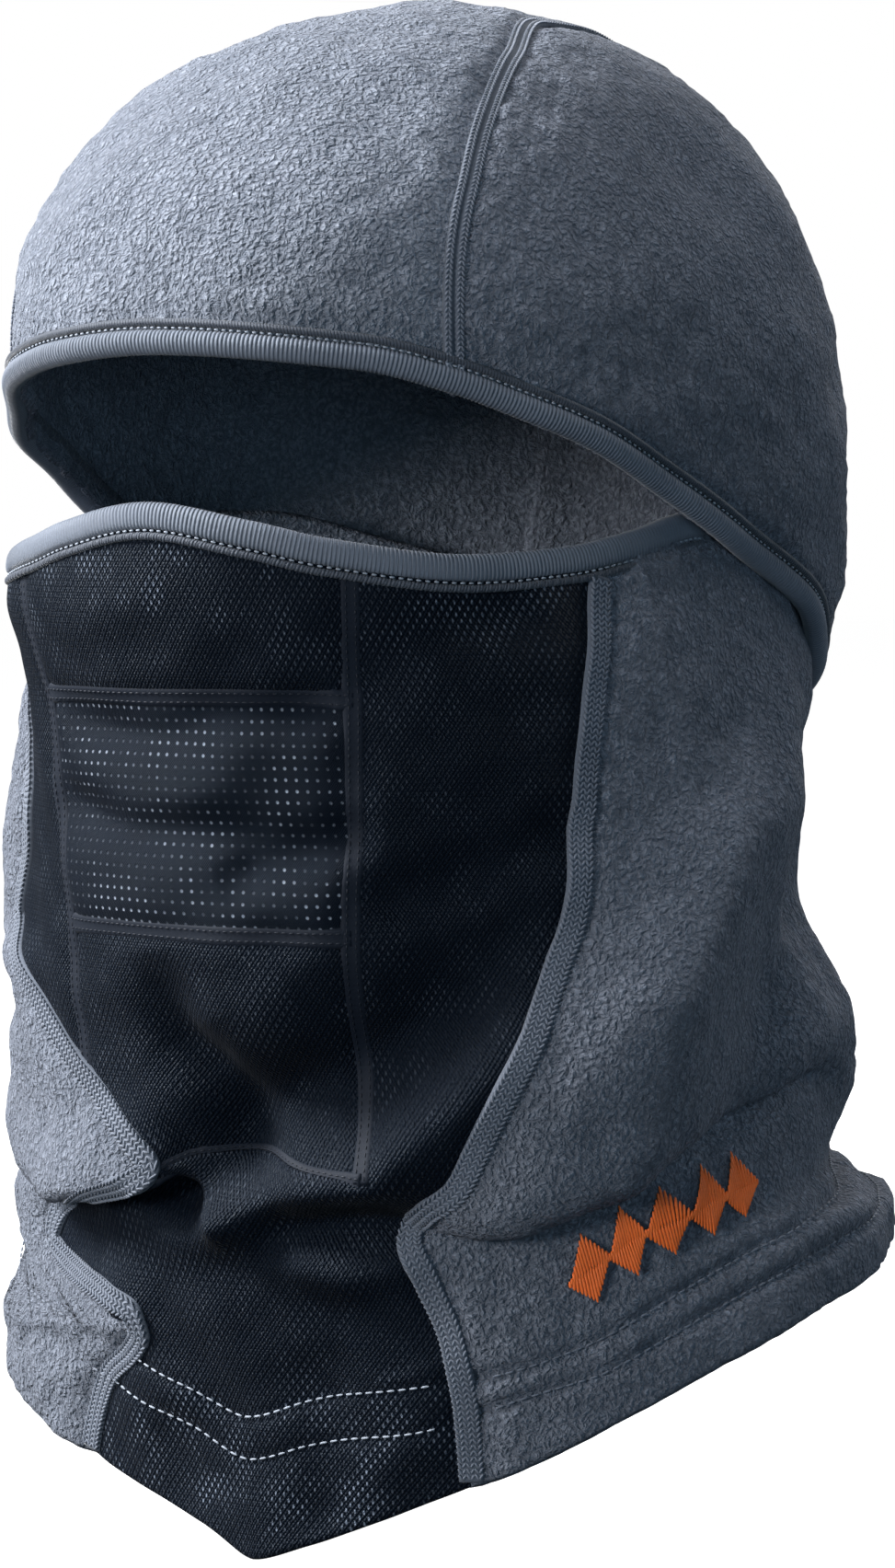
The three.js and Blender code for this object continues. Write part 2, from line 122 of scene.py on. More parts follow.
half, front, back, roundness = (curve([(r[0], r[k]) for r in TUBE]) for k in (1, 2, 3, 4))
near_brow = curve(BROW_EDGE)
far_brow = curve(FAR_BROW)
mask_edge_right_half = curve(MASK_EDGE)
near_hem = curve(NEAR_HEM)
far_hem = curve(FAR_HEM)
near_seam = curve(NEAR_SEAM)
far_seam = curve(FAR_SEAM)
insert_x = curve(INSERT_X)
crown_seam_x = curve(CROWN_SEAM_X)


def brow_edge(angle):
    turned = (np.asarray(angle, float) + 180) % 360 - 180
    return np.where(turned < 0, far_brow(-turned), near_brow(turned))


def mask_edge(angle):
    turned = np.abs((np.asarray(angle, float) + 180) % 360 - 180)
    return mask_edge_right_half(turned)


def hem_edge(angle):
    turned = (np.asarray(angle, float) + 180) % 360 - 180
    return np.where(turned < 0, far_hem(-turned), near_hem(turned))


def smooth(t):
    t = np.clip(t, 0, 1)
    return t * t * (3 - 2 * t)


def unit(v):
    return v / np.maximum(np.linalg.norm(v, axis=-1, keepdims=True), 1e-9)


def ripple(points, size, seed, waves=9):
    """Gentle, even, repeatable unevenness between about -1 and 1, with waves about size long."""
    rng = np.random.default_rng(seed)
    total = np.zeros(points.shape[:-1])
    for _ in range(waves):
        direction = rng.normal(size=3)
        direction /= np.linalg.norm(direction)
        length = size * rng.uniform(0.7, 1.5)
        total += np.sin(points @ direction * (2 * math.pi / length) + rng.uniform(0, 2 * math.pi))
    return total / math.sqrt(waves)


# ---- Folds of the neck ----

def spline(points, spacing=2.0):
    """Points along a smooth line through the given ones, with how far along each lies, 0 to 1."""
    p = np.array(points, float)
    ends = np.vstack([2 * p[0] - p[1], p, 2 * p[-1] - p[-2]])
    out, share = [], []
    for k in range(len(p) - 1):
        a, b, c, d = ends[k:k + 4]
        n = max(2, int(np.linalg.norm(c - b) / spacing))
        for t in np.arange(n) / n:
            out.append(0.5 * (2 * b + (c - a) * t + (2 * a - 5 * b + 4 * c - d) * t ** 2
                              + (3 * b - a - 3 * c + d) * t ** 3))
            share.append((k + t) / (len(p) - 1))
    out.append(p[-1])
    share.append(1.0)
    return np.array(out), np.array(share)


class Fold:
    """A ridge or valley (roll=False), or a roll that bulges on one side of its line over the other side."""

    def __init__(self, line, width, rise, over=0.0, roll=False):
        flat = [(a * DEGREE, z) for a, z in line]
        self.points, self.share = spline(flat)
        self.width, self.roll = width, roll
        self.rise = self._along(rise)
        self.over = self._along(over)

    def _along(self, values):
        values = np.atleast_1d(np.array(values, float))
        if len(values) == 1:
            values = np.array([0, values[0], values[0], values[0], 0])
        return np.interp(self.share, np.linspace(0, 1, len(values)), values)

    def add_to(self, u, v, out, du, dv):
        low, high = self.points.min(0) - 4 * self.width, self.points.max(0) + 4 * self.width
        near = np.nonzero((u > low[0]) & (u < high[0]) & (v > low[1]) & (v < high[1]))[0]
        if not len(near):
            return
        q = np.stack([u[near], v[near]], 1)
        best = np.full(len(near), 1e9)
        side = np.zeros((len(near), 2))
        rise, over, signed = (np.zeros(len(near)) for _ in range(3))
        for k in range(len(self.points) - 1):
            a, b = self.points[k], self.points[k + 1]
            d = b - a
            t = np.clip((q - a) @ d / (d @ d), 0, 1)
            gap = q - (a + t[:, None] * d)
            distance = np.hypot(gap[:, 0], gap[:, 1])
            closer = distance < best
            if not closer.any():
                continue
            left = np.array([-d[1], d[0]]) / math.hypot(*d)
            best = np.where(closer, distance, best)
            signed = np.where(closer, gap @ left, signed)
            side[closer] = left
            rise = np.where(closer, self.rise[k] + t * (self.rise[k + 1] - self.rise[k]), rise)
            over = np.where(closer, self.over[k] + t * (self.over[k + 1] - self.over[k]), over)
        x = best / self.width
        if self.roll:
            x = x * np.sign(signed)
            shape = x * np.exp((1 - x * x) / 2)
            out[near] -= rise * shape
            du[near] -= over * shape * side[:, 0]
            dv[near] -= over * shape * side[:, 1]
        else:
            out[near] += rise * np.exp(-x * x)


ROLLS = [
    # Under the near roll, down to the mesh: the upper cloth hangs over the cuff of the hem
    Fold([(116, -236), (100, -234), (90, -236), (80, -239), (72, -244), (64, -249), (58, -254), (51, -258),
          (44, -262), (38, -264), (30, -264), (20, -262), (10, -263)],
         8, [0, 3, 5, 6, 6, 6, 6, 6, 5, 4, 3, 1, 0], [0, 3, 6, 7, 7, 7, 7, 6, 6, 5, 3, 1, 0], roll=True),
    # The far fleece, over the seam's bend
    Fold([(-4, -251), (-10, -255), (-22, -259), (-34, -262), (-54, -260), (-84, -255)],
         8, [0, 5, 6, 6, 4, 0], [0, 5, 6, 5, 3, 0], roll=True),
]
RIDGES = [Fold([(-12, -284), (-20, -285), (-32, -286), (-58, -292), (-78, -292)], 6, [0, 3, 3.5, 2.5, 0]),
    Fold([(106, -148), (96, -164), (88, -176), (80, -188), (73, -200), (67, -211), (59, -223), (52, -232),
    (44, -240), (38, -248), (32, -257)], 13, [0, 5, 8, 9.5, 10.5, 11, 11, 10, 8, 5, 1]), Fold([(116, -178),
    (108, -190), (100, -202), (92, -213), (84, -224), (76, -232), (66, -240), (56, -248)], 9, [0, -3, -5, -6,
    -6, -5, -3, 0]), Fold([(112, -236), (100, -234), (90, -236), (80, -239), (72, -244), (64, -249), (58,
    -254), (51, -258), (44, -262), (36, -264), (28, -262)], 8, [0, -6, -9, -10, -10.5, -10.5, -9, -8, -6, -5,
    -2]), Fold([(22, -272), (28, -270), (41, -268), (51, -265), (62, -260), (74, -254), (90, -247), (106,
    -243)], 8, [0, 2, 4, 4, 4, 4, 3, 0]), Fold([(100, -182), (95, -205), (95, -228)], 12, [0, 4, 0]),
    Fold([(-6, -204), (-5, -212), (-4, -218), (-3, -224), (0, -230), (3, -237), (4, -246)], 8, [0, -3, -5, -7,
    -8, -7, -5]), Fold([(-2, -252), (5, -244), (14, -236), (26, -226), (38, -214), (46, -205), (54, -190)],
    11, [-3, -7, -8, -8, -6, -4, 0]), Fold([(-6, -264), (0, -262), (6, -260), (15, -255), (24, -250), (32,
    -240), (41, -227), (46, -218), (52, -204)], 7, [0, 4, 5, 6, 6, 5.5, 5, 4, 0]), Fold([(-16, -247), (-10,
    -252), (-5, -256), (0, -262), (3, -266)], 4, [0, 3, 4, 3, 0]), Fold([(-36, -268), (-16, -268), (-6, -268),
    (2, -265)], 5, [0, 3, 4, 2]), Fold([(-32, -259), (-18, -261), (-8, -262), (-2, -257)], 5, [0, -4, -5,
    -3]), Fold([(4, -266), (10, -264), (19, -262), (26, -261), (36, -264)], 6, [-2, -6, -7, -5, 0]), Fold([(6,
    -269), (12, -271), (18, -275), (26, -273), (34, -276)], 5, [0, 3, 4, 3, 0]), Fold([(-28, -172), (-23,
    -173), (-10, -178), (2, -178), (16, -178), (22, -176)], 5, -2.4), Fold([(6, -188), (11, -186), (19, -182),
    (26, -178), (30, -174)], 5, -2.6), Fold([(-25, -156), (-21, -155), (-4, -158), (9, -154), (22, -152), (26,
    -150)], 5, -2.2), Fold([(28, -146), (32, -142), (42, -136), (53, -131), (58, -129)], 6, -2.0), Fold([(27,
    -196), (31, -192), (43, -187), (55, -177), (58, -172)], 7, -2.4), Fold([(-20, -330), (-17, -300), (-12,
    -285)], 9, [1, 1.5, 0]), Fold([(12, -325), (14, -300), (15, -288)], 8, [-1.5, -2, 0]), Fold([(178, -200),
    (150, -208), (128, -212)], 14, [2, 3, 0]), Fold([(-178, -202), (-150, -210), (-110, -206)], 14, [2, 3,
    0]), Fold([(178, -246), (150, -242), (128, -246)], 10, [-3, -4, 0]), Fold([(-178, -246), (-150, -240),
    (-110, -246)], 10, [-3, -4, 0]), ]
# How far the cloth stands off the plain tube where it is seen edge on, at each height
FAR_SWELL = curve([(-112, 5), (-130, 6.5), (-142, 3.4), (-152, 2), (-162, 4.2), (-178, 9.5), (-190, 12),
    (-200, 12), (-208, 8), (-216, 4.5), (-222, 3.6), (-232, 5.4), (-246, 5), (-256, 2.4), (-268, 9.5), (-280,
    5), (-292, 5.2), (-304, 7.2), (-320, 6)])
FAR_SWELL_AT = curve([(-112, -45), (-146, -46), (-162, -70), (-200, -73), (-216, -60), (-345, -57)])
FAR_SWELL_WIDTH = curve([(-112, 30), (-146, 28), (-162, 17), (-200, 17), (-216, 28), (-345, 30)])
NEAR_SWELL = curve([(-140, 2), (-154, 0.3), (-160, -2.5), (-174, -3), (-186, -5.5), (-196, -7.8), (-203,
    -6.8), (-214, -2.3), (-226, 0.8), (-238, 0.4), (-245, -2), (-256, -6), (-262, -0.5), (-268, 7), (-275, 6),
    (-282, 3), (-300, 2)])


def plain_tube(angle, z):
    s, c = np.sin(np.radians(angle)), np.cos(np.radians(angle))
    power = 2 / np.where(c > 0, roundness(z), BACK_ROUND)
    reach = np.where(c > 0, front(z), back(z))
    return np.stack([half(z) * np.sign(s) * np.abs(s) ** power, -reach * np.sign(c) * np.abs(c) ** power, z],
        -1)


def neck(angle, z):
    """The outside of the neck cloth at angles round the head and heights, folds included."""
    shape = np.broadcast(angle, z).shape
    angle = np.broadcast_to(np.asarray(angle, float), shape).ravel()
    z = np.broadcast_to(np.asarray(z, float), shape).ravel()
    turned = (angle + 180) % 360 - 180
    out, du, dv = (np.zeros(len(angle)) for _ in range(3))
    for fold in ROLLS + RIDGES:
        fold.add_to(turned * DEGREE, z, out, du, dv)
    out += FAR_SWELL(z) * np.exp(-(((turned - FAR_SWELL_AT(z)) / FAR_SWELL_WIDTH(z)) ** 2))
    out += NEAR_SWELL(z) * np.exp(-(((turned - 122) / 32) ** 2))
    moved = turned + du / DEGREE
    high = z + dv
    base = plain_tube(moved, high)
    step = 1.5
    around = plain_tube(moved + step, high) - plain_tube(moved - step, high)
    up = plain_tube(moved, high + step) - plain_tube(moved, high - step)
    normal = unit(np.cross(around, up))
    calm = smooth((mask_edge(turned) - z) / 25)  # the cloth is smooth under the mask's binding
    out += calm * (0.8 * ripple(base, 46, 3) + 0.35 * ripple(base, 19, 4))
    return (base + normal * out[:, None]).reshape(shape + (3,))


def framed(surface, a, b, da, db):
    """The surface's points with their outward normals."""
    point = surface(a, b)
    along = surface(a + da, b) - surface(a - da, b)
    across = surface(a, b + db) - surface(a, b - db)
    return point, unit(np.cross(along, across))


def neck_frame(angle, z):
    return framed(neck, np.asarray(angle, float), np.asarray(z, float), 0.35, 0.5)


# ---- The hood ----

# How far the near side of the hood stands off the plain form, at each height
HOOD_SWELL = curve([(0, 0), (-16, -1.2), (-32, -2.6), (-50, -2.2), (-66, -2.8), (-78, -2.8), (-91, -1.2),
    (-105, 0), (-118, 0.6), (-132, 3), (-145, 4)])


def hood_at(direction):
    d = unit(direction)
    reach = np.stack([np.full(d.shape[:-1], HOOD_HALF_WIDTH), np.where(d[..., 1] < 0, HOOD_FRONT, HOOD_BACK),
                      np.where(d[..., 2] < 0, HOOD_DROP, HOOD_RISE)], -1)
    share = np.abs(d) / reach
    size = (share ** HOOD_FULLNESS).sum(-1, keepdims=True) ** (-1 / HOOD_FULLNESS)
    slope = np.sign(d) * (share * size) ** (HOOD_FULLNESS - 1) / reach
    normal = unit(slope)
    point = HOOD_CENTRE + d * size
    turned = angle_of(point)
    out = 1.3 * ripple(point, 75, 11) + 0.5 * ripple(point, 30, 12)
    out += FRONT_FLARE * np.exp(-(((turned + 52) / 26) ** 2)) * smooth((-68 - point[..., 2]) / 22)
    out += HOOD_SWELL(point[..., 2]) * np.exp(-(((turned - 118) / 50) ** 2))
    lean = CROWN_LEAN * smooth((point[..., 2] + 80) / 45)[..., None]
    return point + normal * out[..., None] + lean, normal


def hood_direction(angle, tilt):
    a = np.radians(angle)
    return np.stack([np.sin(tilt) * np.sin(a), -np.sin(tilt) * np.cos(a), np.cos(tilt)], -1)


def hood_at_height(angle, z):
    angle, z = np.broadcast_arrays(np.asarray(angle, float), np.asarray(z, float))
    low, high = np.full(angle.shape, 0.02), np.full(angle.shape, math.pi - 0.02)
    for _ in range(30):
        tilt = (low + high) / 2
        above = hood_at(hood_direction(angle, tilt))[0][..., 2] > z
        low, high = np.where(above, tilt, low), np.where(above, high, tilt)
    return hood_at(hood_direction(angle, low))


def hood_across(x, meridian):
    x, meridian = np.broadcast_arrays(np.asarray(x, float), np.asarray(meridian, float))
    c, s = np.cos(np.radians(meridian)), np.sin(np.radians(meridian))
    reach_y, reach_z = np.where(c > 0, HOOD_FRONT, HOOD_BACK), np.where(s > 0, HOOD_RISE, HOOD_DROP)
    share = (np.abs(c) / reach_y) ** HOOD_FULLNESS + (np.abs(s) / reach_z) ** HOOD_FULLNESS
    size = ((1 - np.abs(x / HOOD_HALF_WIDTH) ** HOOD_FULLNESS) / share) ** (1 / HOOD_FULLNESS)
    return hood_at(np.stack([x, -c * size, s * size], -1))


def angle_of(point):
    return np.degrees(np.arctan2(point[..., 0], HOOD_CENTRE[1] - point[..., 1]))


def edge_meridian(x, inside, outside):
    """Where lines over the hood, x(meridian) from the middle, meet the hood's edge."""
    kept = np.broadcast_to(float(inside), np.shape(x(inside))).copy()
    cut = np.full(kept.shape, float(outside))
    for _ in range(30):
        middle = (kept + cut) / 2
        point, _ = hood_across(x(middle), middle)
        above = point[..., 2] > brow_edge(angle_of(point))
        kept, cut = np.where(above, middle, kept), np.where(above, cut, middle)
    return kept


# ---- Making pieces ----

def build(name, points, faces, materials, uv=None, finish=None, smooth_faces=True):
    """A Blender object from points in millimetres. uv is one pair per point, in millimetres of cloth."""
    mesh = bpy.data.meshes.new(name)
    mesh.vertices.add(len(points))
    mesh.vertices.foreach_set("co", (np.asarray(points) * MM).astype(np.float32).ravel())
    faces = np.asarray(faces, np.int32)
    sides = faces.shape[1]
    mesh.loops.add(faces.size)
    mesh.loops.foreach_set("vertex_index", faces.ravel())
    mesh.polygons.add(len(faces))
    mesh.polygons.foreach_set("loop_start", np.arange(0, faces.size, sides, dtype=np.int32))
    mesh.polygons.foreach_set("loop_total", np.full(len(faces), sides, np.int32))
    mesh.polygons.foreach_set("use_smooth", np.full(len(faces), smooth_faces))
    if finish is not None:
        mesh.polygons.foreach_set("material_index", np.asarray(finish, np.int32))
    if uv is not None:
        layer = mesh.uv_layers.new(name="cloth")
        layer.data.foreach_set("uv", np.asarray(uv, np.float32)[faces.ravel()].ravel())
    mesh.update(calc_edges=True)
    for material in materials:
        mesh.materials.append(material)
    obj = bpy.data.objects.new(name, mesh)
    bpy.context.scene.collection.objects.link(obj)
    return obj


def cloth(name, outside, normals, thickness, materials, uv, hole=None):
    """A closed piece of cloth over a grid of points, with rounded edges. hole marks cells left out."""
    rows, columns = outside.shape[:2]
    inside = outside - normals * np.asarray(thickness)[..., None] if np.ndim(thickness) else (
        outside - normals * thickness)
    kept = np.ones((rows - 1, columns - 1), bool) if hole is None else ~hole
    index = np.arange(rows * columns).reshape(rows, columns)
    a, b, c, d = (index[j:rows - 1 + j, i:columns - 1 + i] for j, i in ((0, 0), (0, 1), (1, 1), (1, 0)))
    quads = np.stack([a, b, c, d], -1)[kept]
    back_side = quads[:, ::-1] + rows * columns
    directed = np.concatenate([quads[:, [k, (k + 1) % 4]] for k in range(4)])
    key = directed[:, 0].astype(np.int64) * (rows * columns) + directed[:, 1]
    mirror = directed[:, 1].astype(np.int64) * (rows * columns) + directed[:, 0]
    rim = directed[~np.isin(key, mirror)]
    points = np.concatenate([outside.reshape(-1, 3), inside.reshape(-1, 3)])
    corner = np.unique(rim)
    place = {int(v): 2 * rows * columns + k for k, v in enumerate(corner)}
    flat_points, flat_inside = outside.reshape(-1, 3), inside.reshape(-1, 3)
    away = np.zeros((rows * columns, 3))
    flat_normals = normals.reshape(-1, 3)
    along = flat_points[rim[:, 1]] - flat_points[rim[:, 0]]
    for end in (0, 1):
        np.add.at(away, rim[:, end], unit(np.cross(along, flat_normals[rim[:, end]])))
    depth = np.linalg.norm(flat_points[corner] - flat_inside[corner], axis=1)[:, None]
    middle = (flat_points[corner] + flat_inside[corner]) / 2 + unit(away[corner]) * depth * 0.45
    points = np.concatenate([points, middle])
    m0 = np.array([place[int(v)] for v in rim[:, 0]], int)
    m1 = np.array([place[int(v)] for v in rim[:, 1]], int)
    shell = rows * columns
    walls = np.concatenate([np.stack([rim[:, 1], rim[:, 0], m0, m1], 1),
                            np.stack([m1, m0, rim[:, 0] + shell, rim[:, 1] + shell], 1)])
    faces = np.concatenate([quads, back_side, walls])
    finish = np.concatenate([np.zeros(len(quads)), np.ones(len(back_side)), np.zeros(len(walls))])
    flat_uv = uv.reshape(-1, 2)
    whole_uv = np.concatenate([flat_uv, flat_uv, flat_uv[corner]])
    used = np.unique(faces)
    renumber = np.zeros(len(points), int)
    renumber[used] = np.arange(len(used))
    if len(materials) == 1:
        finish[:] = 0
    return build(name, points[used], renumber[faces], materials, whole_uv[used], finish)


def line_frames(point, normal, spacing, closed=False):
    """Evenly spaced stations along a line on a surface: points, normals, directions along and sideways."""
    if closed:
        point, normal = np.vstack([point, point[:1]]), np.vstack([normal, normal[:1]])
    run = np.concatenate([[0], np.cumsum(np.linalg.norm(np.diff(point, axis=0), axis=1))])
    count = max(3, int(round(run[-1] / spacing)))
    at = np.linspace(0, run[-1], count + 1)
    if closed:
        at = at[:-1]
    point = np.stack([np.interp(at, run, point[:, k]) for k in range(3)], 1)
    normal = unit(np.stack([np.interp(at, run, normal[:, k]) for k in range(3)], 1))
    if closed:
        along = unit(np.roll(point, -1, 0) - np.roll(point, 1, 0))
    else:
        along = unit(np.gradient(point, axis=0))
    side = unit(np.cross(normal, along))
    return point, normal, along, side, at


def loop_profile(corners, count):
    """A smooth closed section through (out, sideways) corners."""
    p = np.array(corners, float)
    n = len(p)
    out = []
    per = max(1, count // n)
    for k in range(n):
        a, b, c, d = p[k - 1], p[k], p[(k + 1) % n], p[(k + 2) % n]
        for t in np.arange(per) / per:
            out.append(0.5 * (2 * b + (c - a) * t + (2 * a - 5 * b + 4 * c - d) * t ** 2
                              + (3 * b - a - 3 * c + d) * t ** 3))
    return np.array(out)


def sweep(name, frames, section, materials, closed=False, rib=None):
    """A section of (out, sideways) swept along stations. rib(run, sideways) gives a height off the section."""
    point, normal, along, side, run = frames
    centre = section.mean(0)
    outward = unit(np.roll(section, -1, 0) - np.roll(section, 1, 0))[:, ::-1] * [1, -1]
    if (outward * (section - centre)).sum() < 0:
        outward = -outward
    sections = np.broadcast_to(section, (len(point),) + section.shape).copy()
    if rib is not None:
        sections += outward * rib(run[:, None], section[None, :, 1], section[None, :, 0])[..., None]
    points = (point[:, None] + normal[:, None] * sections[..., :1] + side[:, None] * sections[..., 1:])
    stations, size = len(point), len(section)
    k = np.arange(stations if closed else stations - 1)[:, None]
    i = np.arange(size)[None]
    nxt, j = (k + 1) % stations, (i + 1) % size
    quads = np.stack([k * size + i, nxt * size + i, nxt * size + j, k * size + j], -1).reshape(-1, 4)
    flat = points.reshape(-1, 3)
    ring = np.concatenate([[0], np.cumsum(np.linalg.norm(np.diff(section, axis=0), axis=1))])
    uv = np.stack(np.broadcast_arrays(run[:, None], ring[None]), -1).reshape(-1, 2)
    if not closed:
        caps, cap_uv = [], []
        for base, order in ((0, 1), ((stations - 1) * size, -1)):
            middle = len(flat) + len(caps)
            caps.append(flat[base:base + size].mean(0))
            cap_uv.append(uv[base])
            for a in range(size):
                b = (a + 1) % size
                edge = (base + a, base + b) if order > 0 else (base + b, base + a)
                quads = np.vstack([quads, [middle, edge[0], edge[1], edge[1]]])
        flat = np.vstack([flat, caps])
        uv = np.vstack([uv, cap_uv])
    tri = quads[:, 2] == quads[:, 3]
    body, ends = quads[~tri], quads[tri][:, :3]
    faces = np.concatenate([body[:, [0, 1, 2]], body[:, [0, 2, 3]], ends])
    a, b, c = (flat[faces[:, n]] for n in range(3))
    if (a * np.cross(b, c)).sum() < 0:
        faces = faces[:, ::-1]
    return build(name, flat, faces, materials, uv)


CAPSULE_RINGS = np.array([[-0.5, 0.15], [-0.44, 0.62], [-0.3, 0.92], [0, 1.0], [0.3, 0.92], [0.44, 0.62],
    [0.5, 0.15]])
CAPSULE_SIDES = 6


def stitches(name, starts, ends, normals, radius, material, flat=1.0):
    """Short plump threads from starts to ends, lying on a surface with those normals, in one mesh."""
    along = ends - starts
    length = np.linalg.norm(along, axis=1, keepdims=True)
    along = along / length
    across = unit(np.cross(normals, along))
    up = np.cross(along, across)
    turn = 2 * math.pi * np.arange(CAPSULE_SIDES) / CAPSULE_SIDES
    middle = (starts + ends) / 2
    rings = []
    for at, wide in CAPSULE_RINGS:
        centre = middle + along * length * at
        for t in turn:
            rings.append(centre + radius * wide * (across * math.cos(t) + up * math.sin(t) * flat))
    points = np.stack(rings, 1)
    per = points.shape[1]
    ring_count = len(CAPSULE_RINGS)
    cell = []
    for r in range(ring_count - 1):
        for s in range(CAPSULE_SIDES):
            n = (s + 1) % CAPSULE_SIDES
            a, b = r * CAPSULE_SIDES + s, r * CAPSULE_SIDES + n
            c, d = b + CAPSULE_SIDES, a + CAPSULE_SIDES
            cell += [(a, b, c), (a, c, d)]
    last = (ring_count - 1) * CAPSULE_SIDES
    for s in range(1, CAPSULE_SIDES - 1):
        cell += [(0, s + 1, s), (last, last + s, last + s + 1)]
    cell = np.array(cell)
    faces = (cell[None] + (np.arange(len(middle)) * per)[:, None, None]).reshape(-1, 3)
    flat_points = points.reshape(-1, 3)
    first = flat_points[:per] - middle[0]
    a, b, c = (first[cell[:, n]] for n in range(3))
    if (a * np.cross(b, c)).sum() < 0:
        faces = faces[:, ::-1]
    return build(name, flat_points, faces, [material])


def stitch_row(frames, lift, sideways, pitch, length, slant=0.0):
    """Where the stitches of a row start and end, and the normals there. slant is how far each leans sideways."""
    point, normal, along, side, run = frames
    begin = np.arange(pitch / 2, run[-1] - length, pitch)
    out = []
    for at, lean in ((begin, -slant / 2), (begin + length, slant / 2)):
        p = np.stack([np.interp(at, run, point[:, k]) for k in range(3)], 1)
        n = unit(np.stack([np.interp(at, run, normal[:, k]) for k in range(3)], 1))
        s = unit(np.stack([np.interp(at, run, side[:, k]) for k in range(3)], 1))
        out.append((p + n * lift + s * (sideways + lean), n))
    return out[0][0], out[1][0], out[0][1]


def joined(rows):
    return [np.vstack(parts) for parts in zip(*rows)]


# ---- Materials ----

def material(name):
    made = bpy.data.materials.new(name)
    made.use_nodes = True
    tree = made.node_tree
    shader = next(n for n in tree.nodes if n.type == "BSDF_PRINCIPLED")
    return made, tree, shader


def node(tree, kind, inputs=None, **settings):
    made = tree.nodes.new(kind)
    for key, value in settings.items():
        setattr(made, key, value)
    for key, value in (inputs or {}).items():
        socket = made.inputs[key]
        if isinstance(value, bpy.types.NodeSocket):
            tree.links.new(value, socket)
        else:
            socket.default_value = value
    return made


def maths(tree, operation, *values, clamp=False):
    made = node(tree, "ShaderNodeMath", operation=operation, use_clamp=clamp)
    for k, value in enumerate(values):
        if isinstance(value, bpy.types.NodeSocket):
            tree.links.new(value, made.inputs[k])
        else:
            made.inputs[k].default_value = value
    return made.outputs[0]


def ramp(tree, value, low, high):
    """0 at low, 1 at high, smooth between."""
    made = node(tree, "ShaderNodeMapRange", {"Value": value, "From Min": low, "From Max": high},
                interpolation_type="SMOOTHSTEP")
    return made.outputs["Result"]


def mixed(tree, share, a, b):
    made = node(tree, "ShaderNodeMix", data_type="RGBA")
    for key, value in ((0, share), (6, a), (7, b)):
        if isinstance(value, bpy.types.NodeSocket):
            tree.links.new(value, made.inputs[key])
        else:
            made.inputs[key].default_value = value
    return made.outputs[2]


def colour(r, g, b):
    return (r, g, b, 1.0)


def fleece_material(name, low, high, sheen, nub=0.0013, deep=0.0030):
    """Brushed pile: curly nubs with the gaps between them darkened as painted shade, over a slow change of tone.
    """
    made, tree, shader = material(name)
    at = node(tree, "ShaderNodeTexCoord").outputs["Object"]
    wander = node(tree, "ShaderNodeTexNoise", {"Vector": at, "Scale": 0.5 / nub, "Detail": 2.0})
    pushed = node(tree, "ShaderNodeVectorMath", {0: wander.outputs["Color"], 1: (0.5, 0.5, 0.5)},
                  operation="SUBTRACT").outputs[0]
    scaled = node(tree, "ShaderNodeVectorMath", {0: pushed, "Scale": nub * 2.2}, operation="SCALE").outputs[0]
    place = node(tree, "ShaderNodeVectorMath", {0: at, 1: scaled}, operation="ADD").outputs[0]
    cells = node(tree, "ShaderNodeTexVoronoi", {"Vector": place, "Scale": 1 / nub, "Randomness": 1.0},
                 feature="SMOOTH_F1")
    cells.inputs["Smoothness"].default_value = 0.35
    nubs = maths(tree, "SUBTRACT", 1.0, cells.outputs["Distance"])
    curls = node(tree, "ShaderNodeTexNoise", {"Vector": place, "Scale": 1.5 / nub, "Detail": 2.0,
        "Roughness": 0.6})
    lint = node(tree, "ShaderNodeTexNoise", {"Vector": at, "Scale": 0.22 / nub, "Detail": 2.0})
    height = maths(tree, "ADD", maths(tree, "MULTIPLY", nubs, 0.7),
                   maths(tree, "ADD", maths(tree, "MULTIPLY", curls.outputs[0], 0.9),
                         maths(tree, "MULTIPLY", lint.outputs[0], 0.35)))
    # Painted shade: the colour runs from low in the gaps between the nubs to high on their tops.
    tone = ramp(tree, height, 0.78, 1.36)
    broad = node(tree, "ShaderNodeTexNoise", {"Vector": at, "Scale": 26.0, "Detail": 2.0})
    worn = maths(tree, "MULTIPLY_ADD", broad.outputs[0], 0.3, -0.15)
    share = maths(tree, "ADD", tone, worn, clamp=True)
    tree.links.new(mixed(tree, share, colour(*low), colour(*high)), shader.inputs["Base Color"])
    relief = node(tree, "ShaderNodeBump", {"Height": height, "Strength": 1.0, "Distance": deep})
    tree.links.new(relief.outputs[0], shader.inputs["Normal"])
    shader.inputs["Roughness"].default_value = 0.95
    shader.inputs["Specular IOR Level"].default_value = 0.2
    shader.inputs["Sheen Weight"].default_value = sheen
    shader.inputs["Sheen Roughness"].default_value = 0.45
    shader.inputs["Sheen Tint"].default_value = colour(0.75, 0.82, 1.0)
    return made


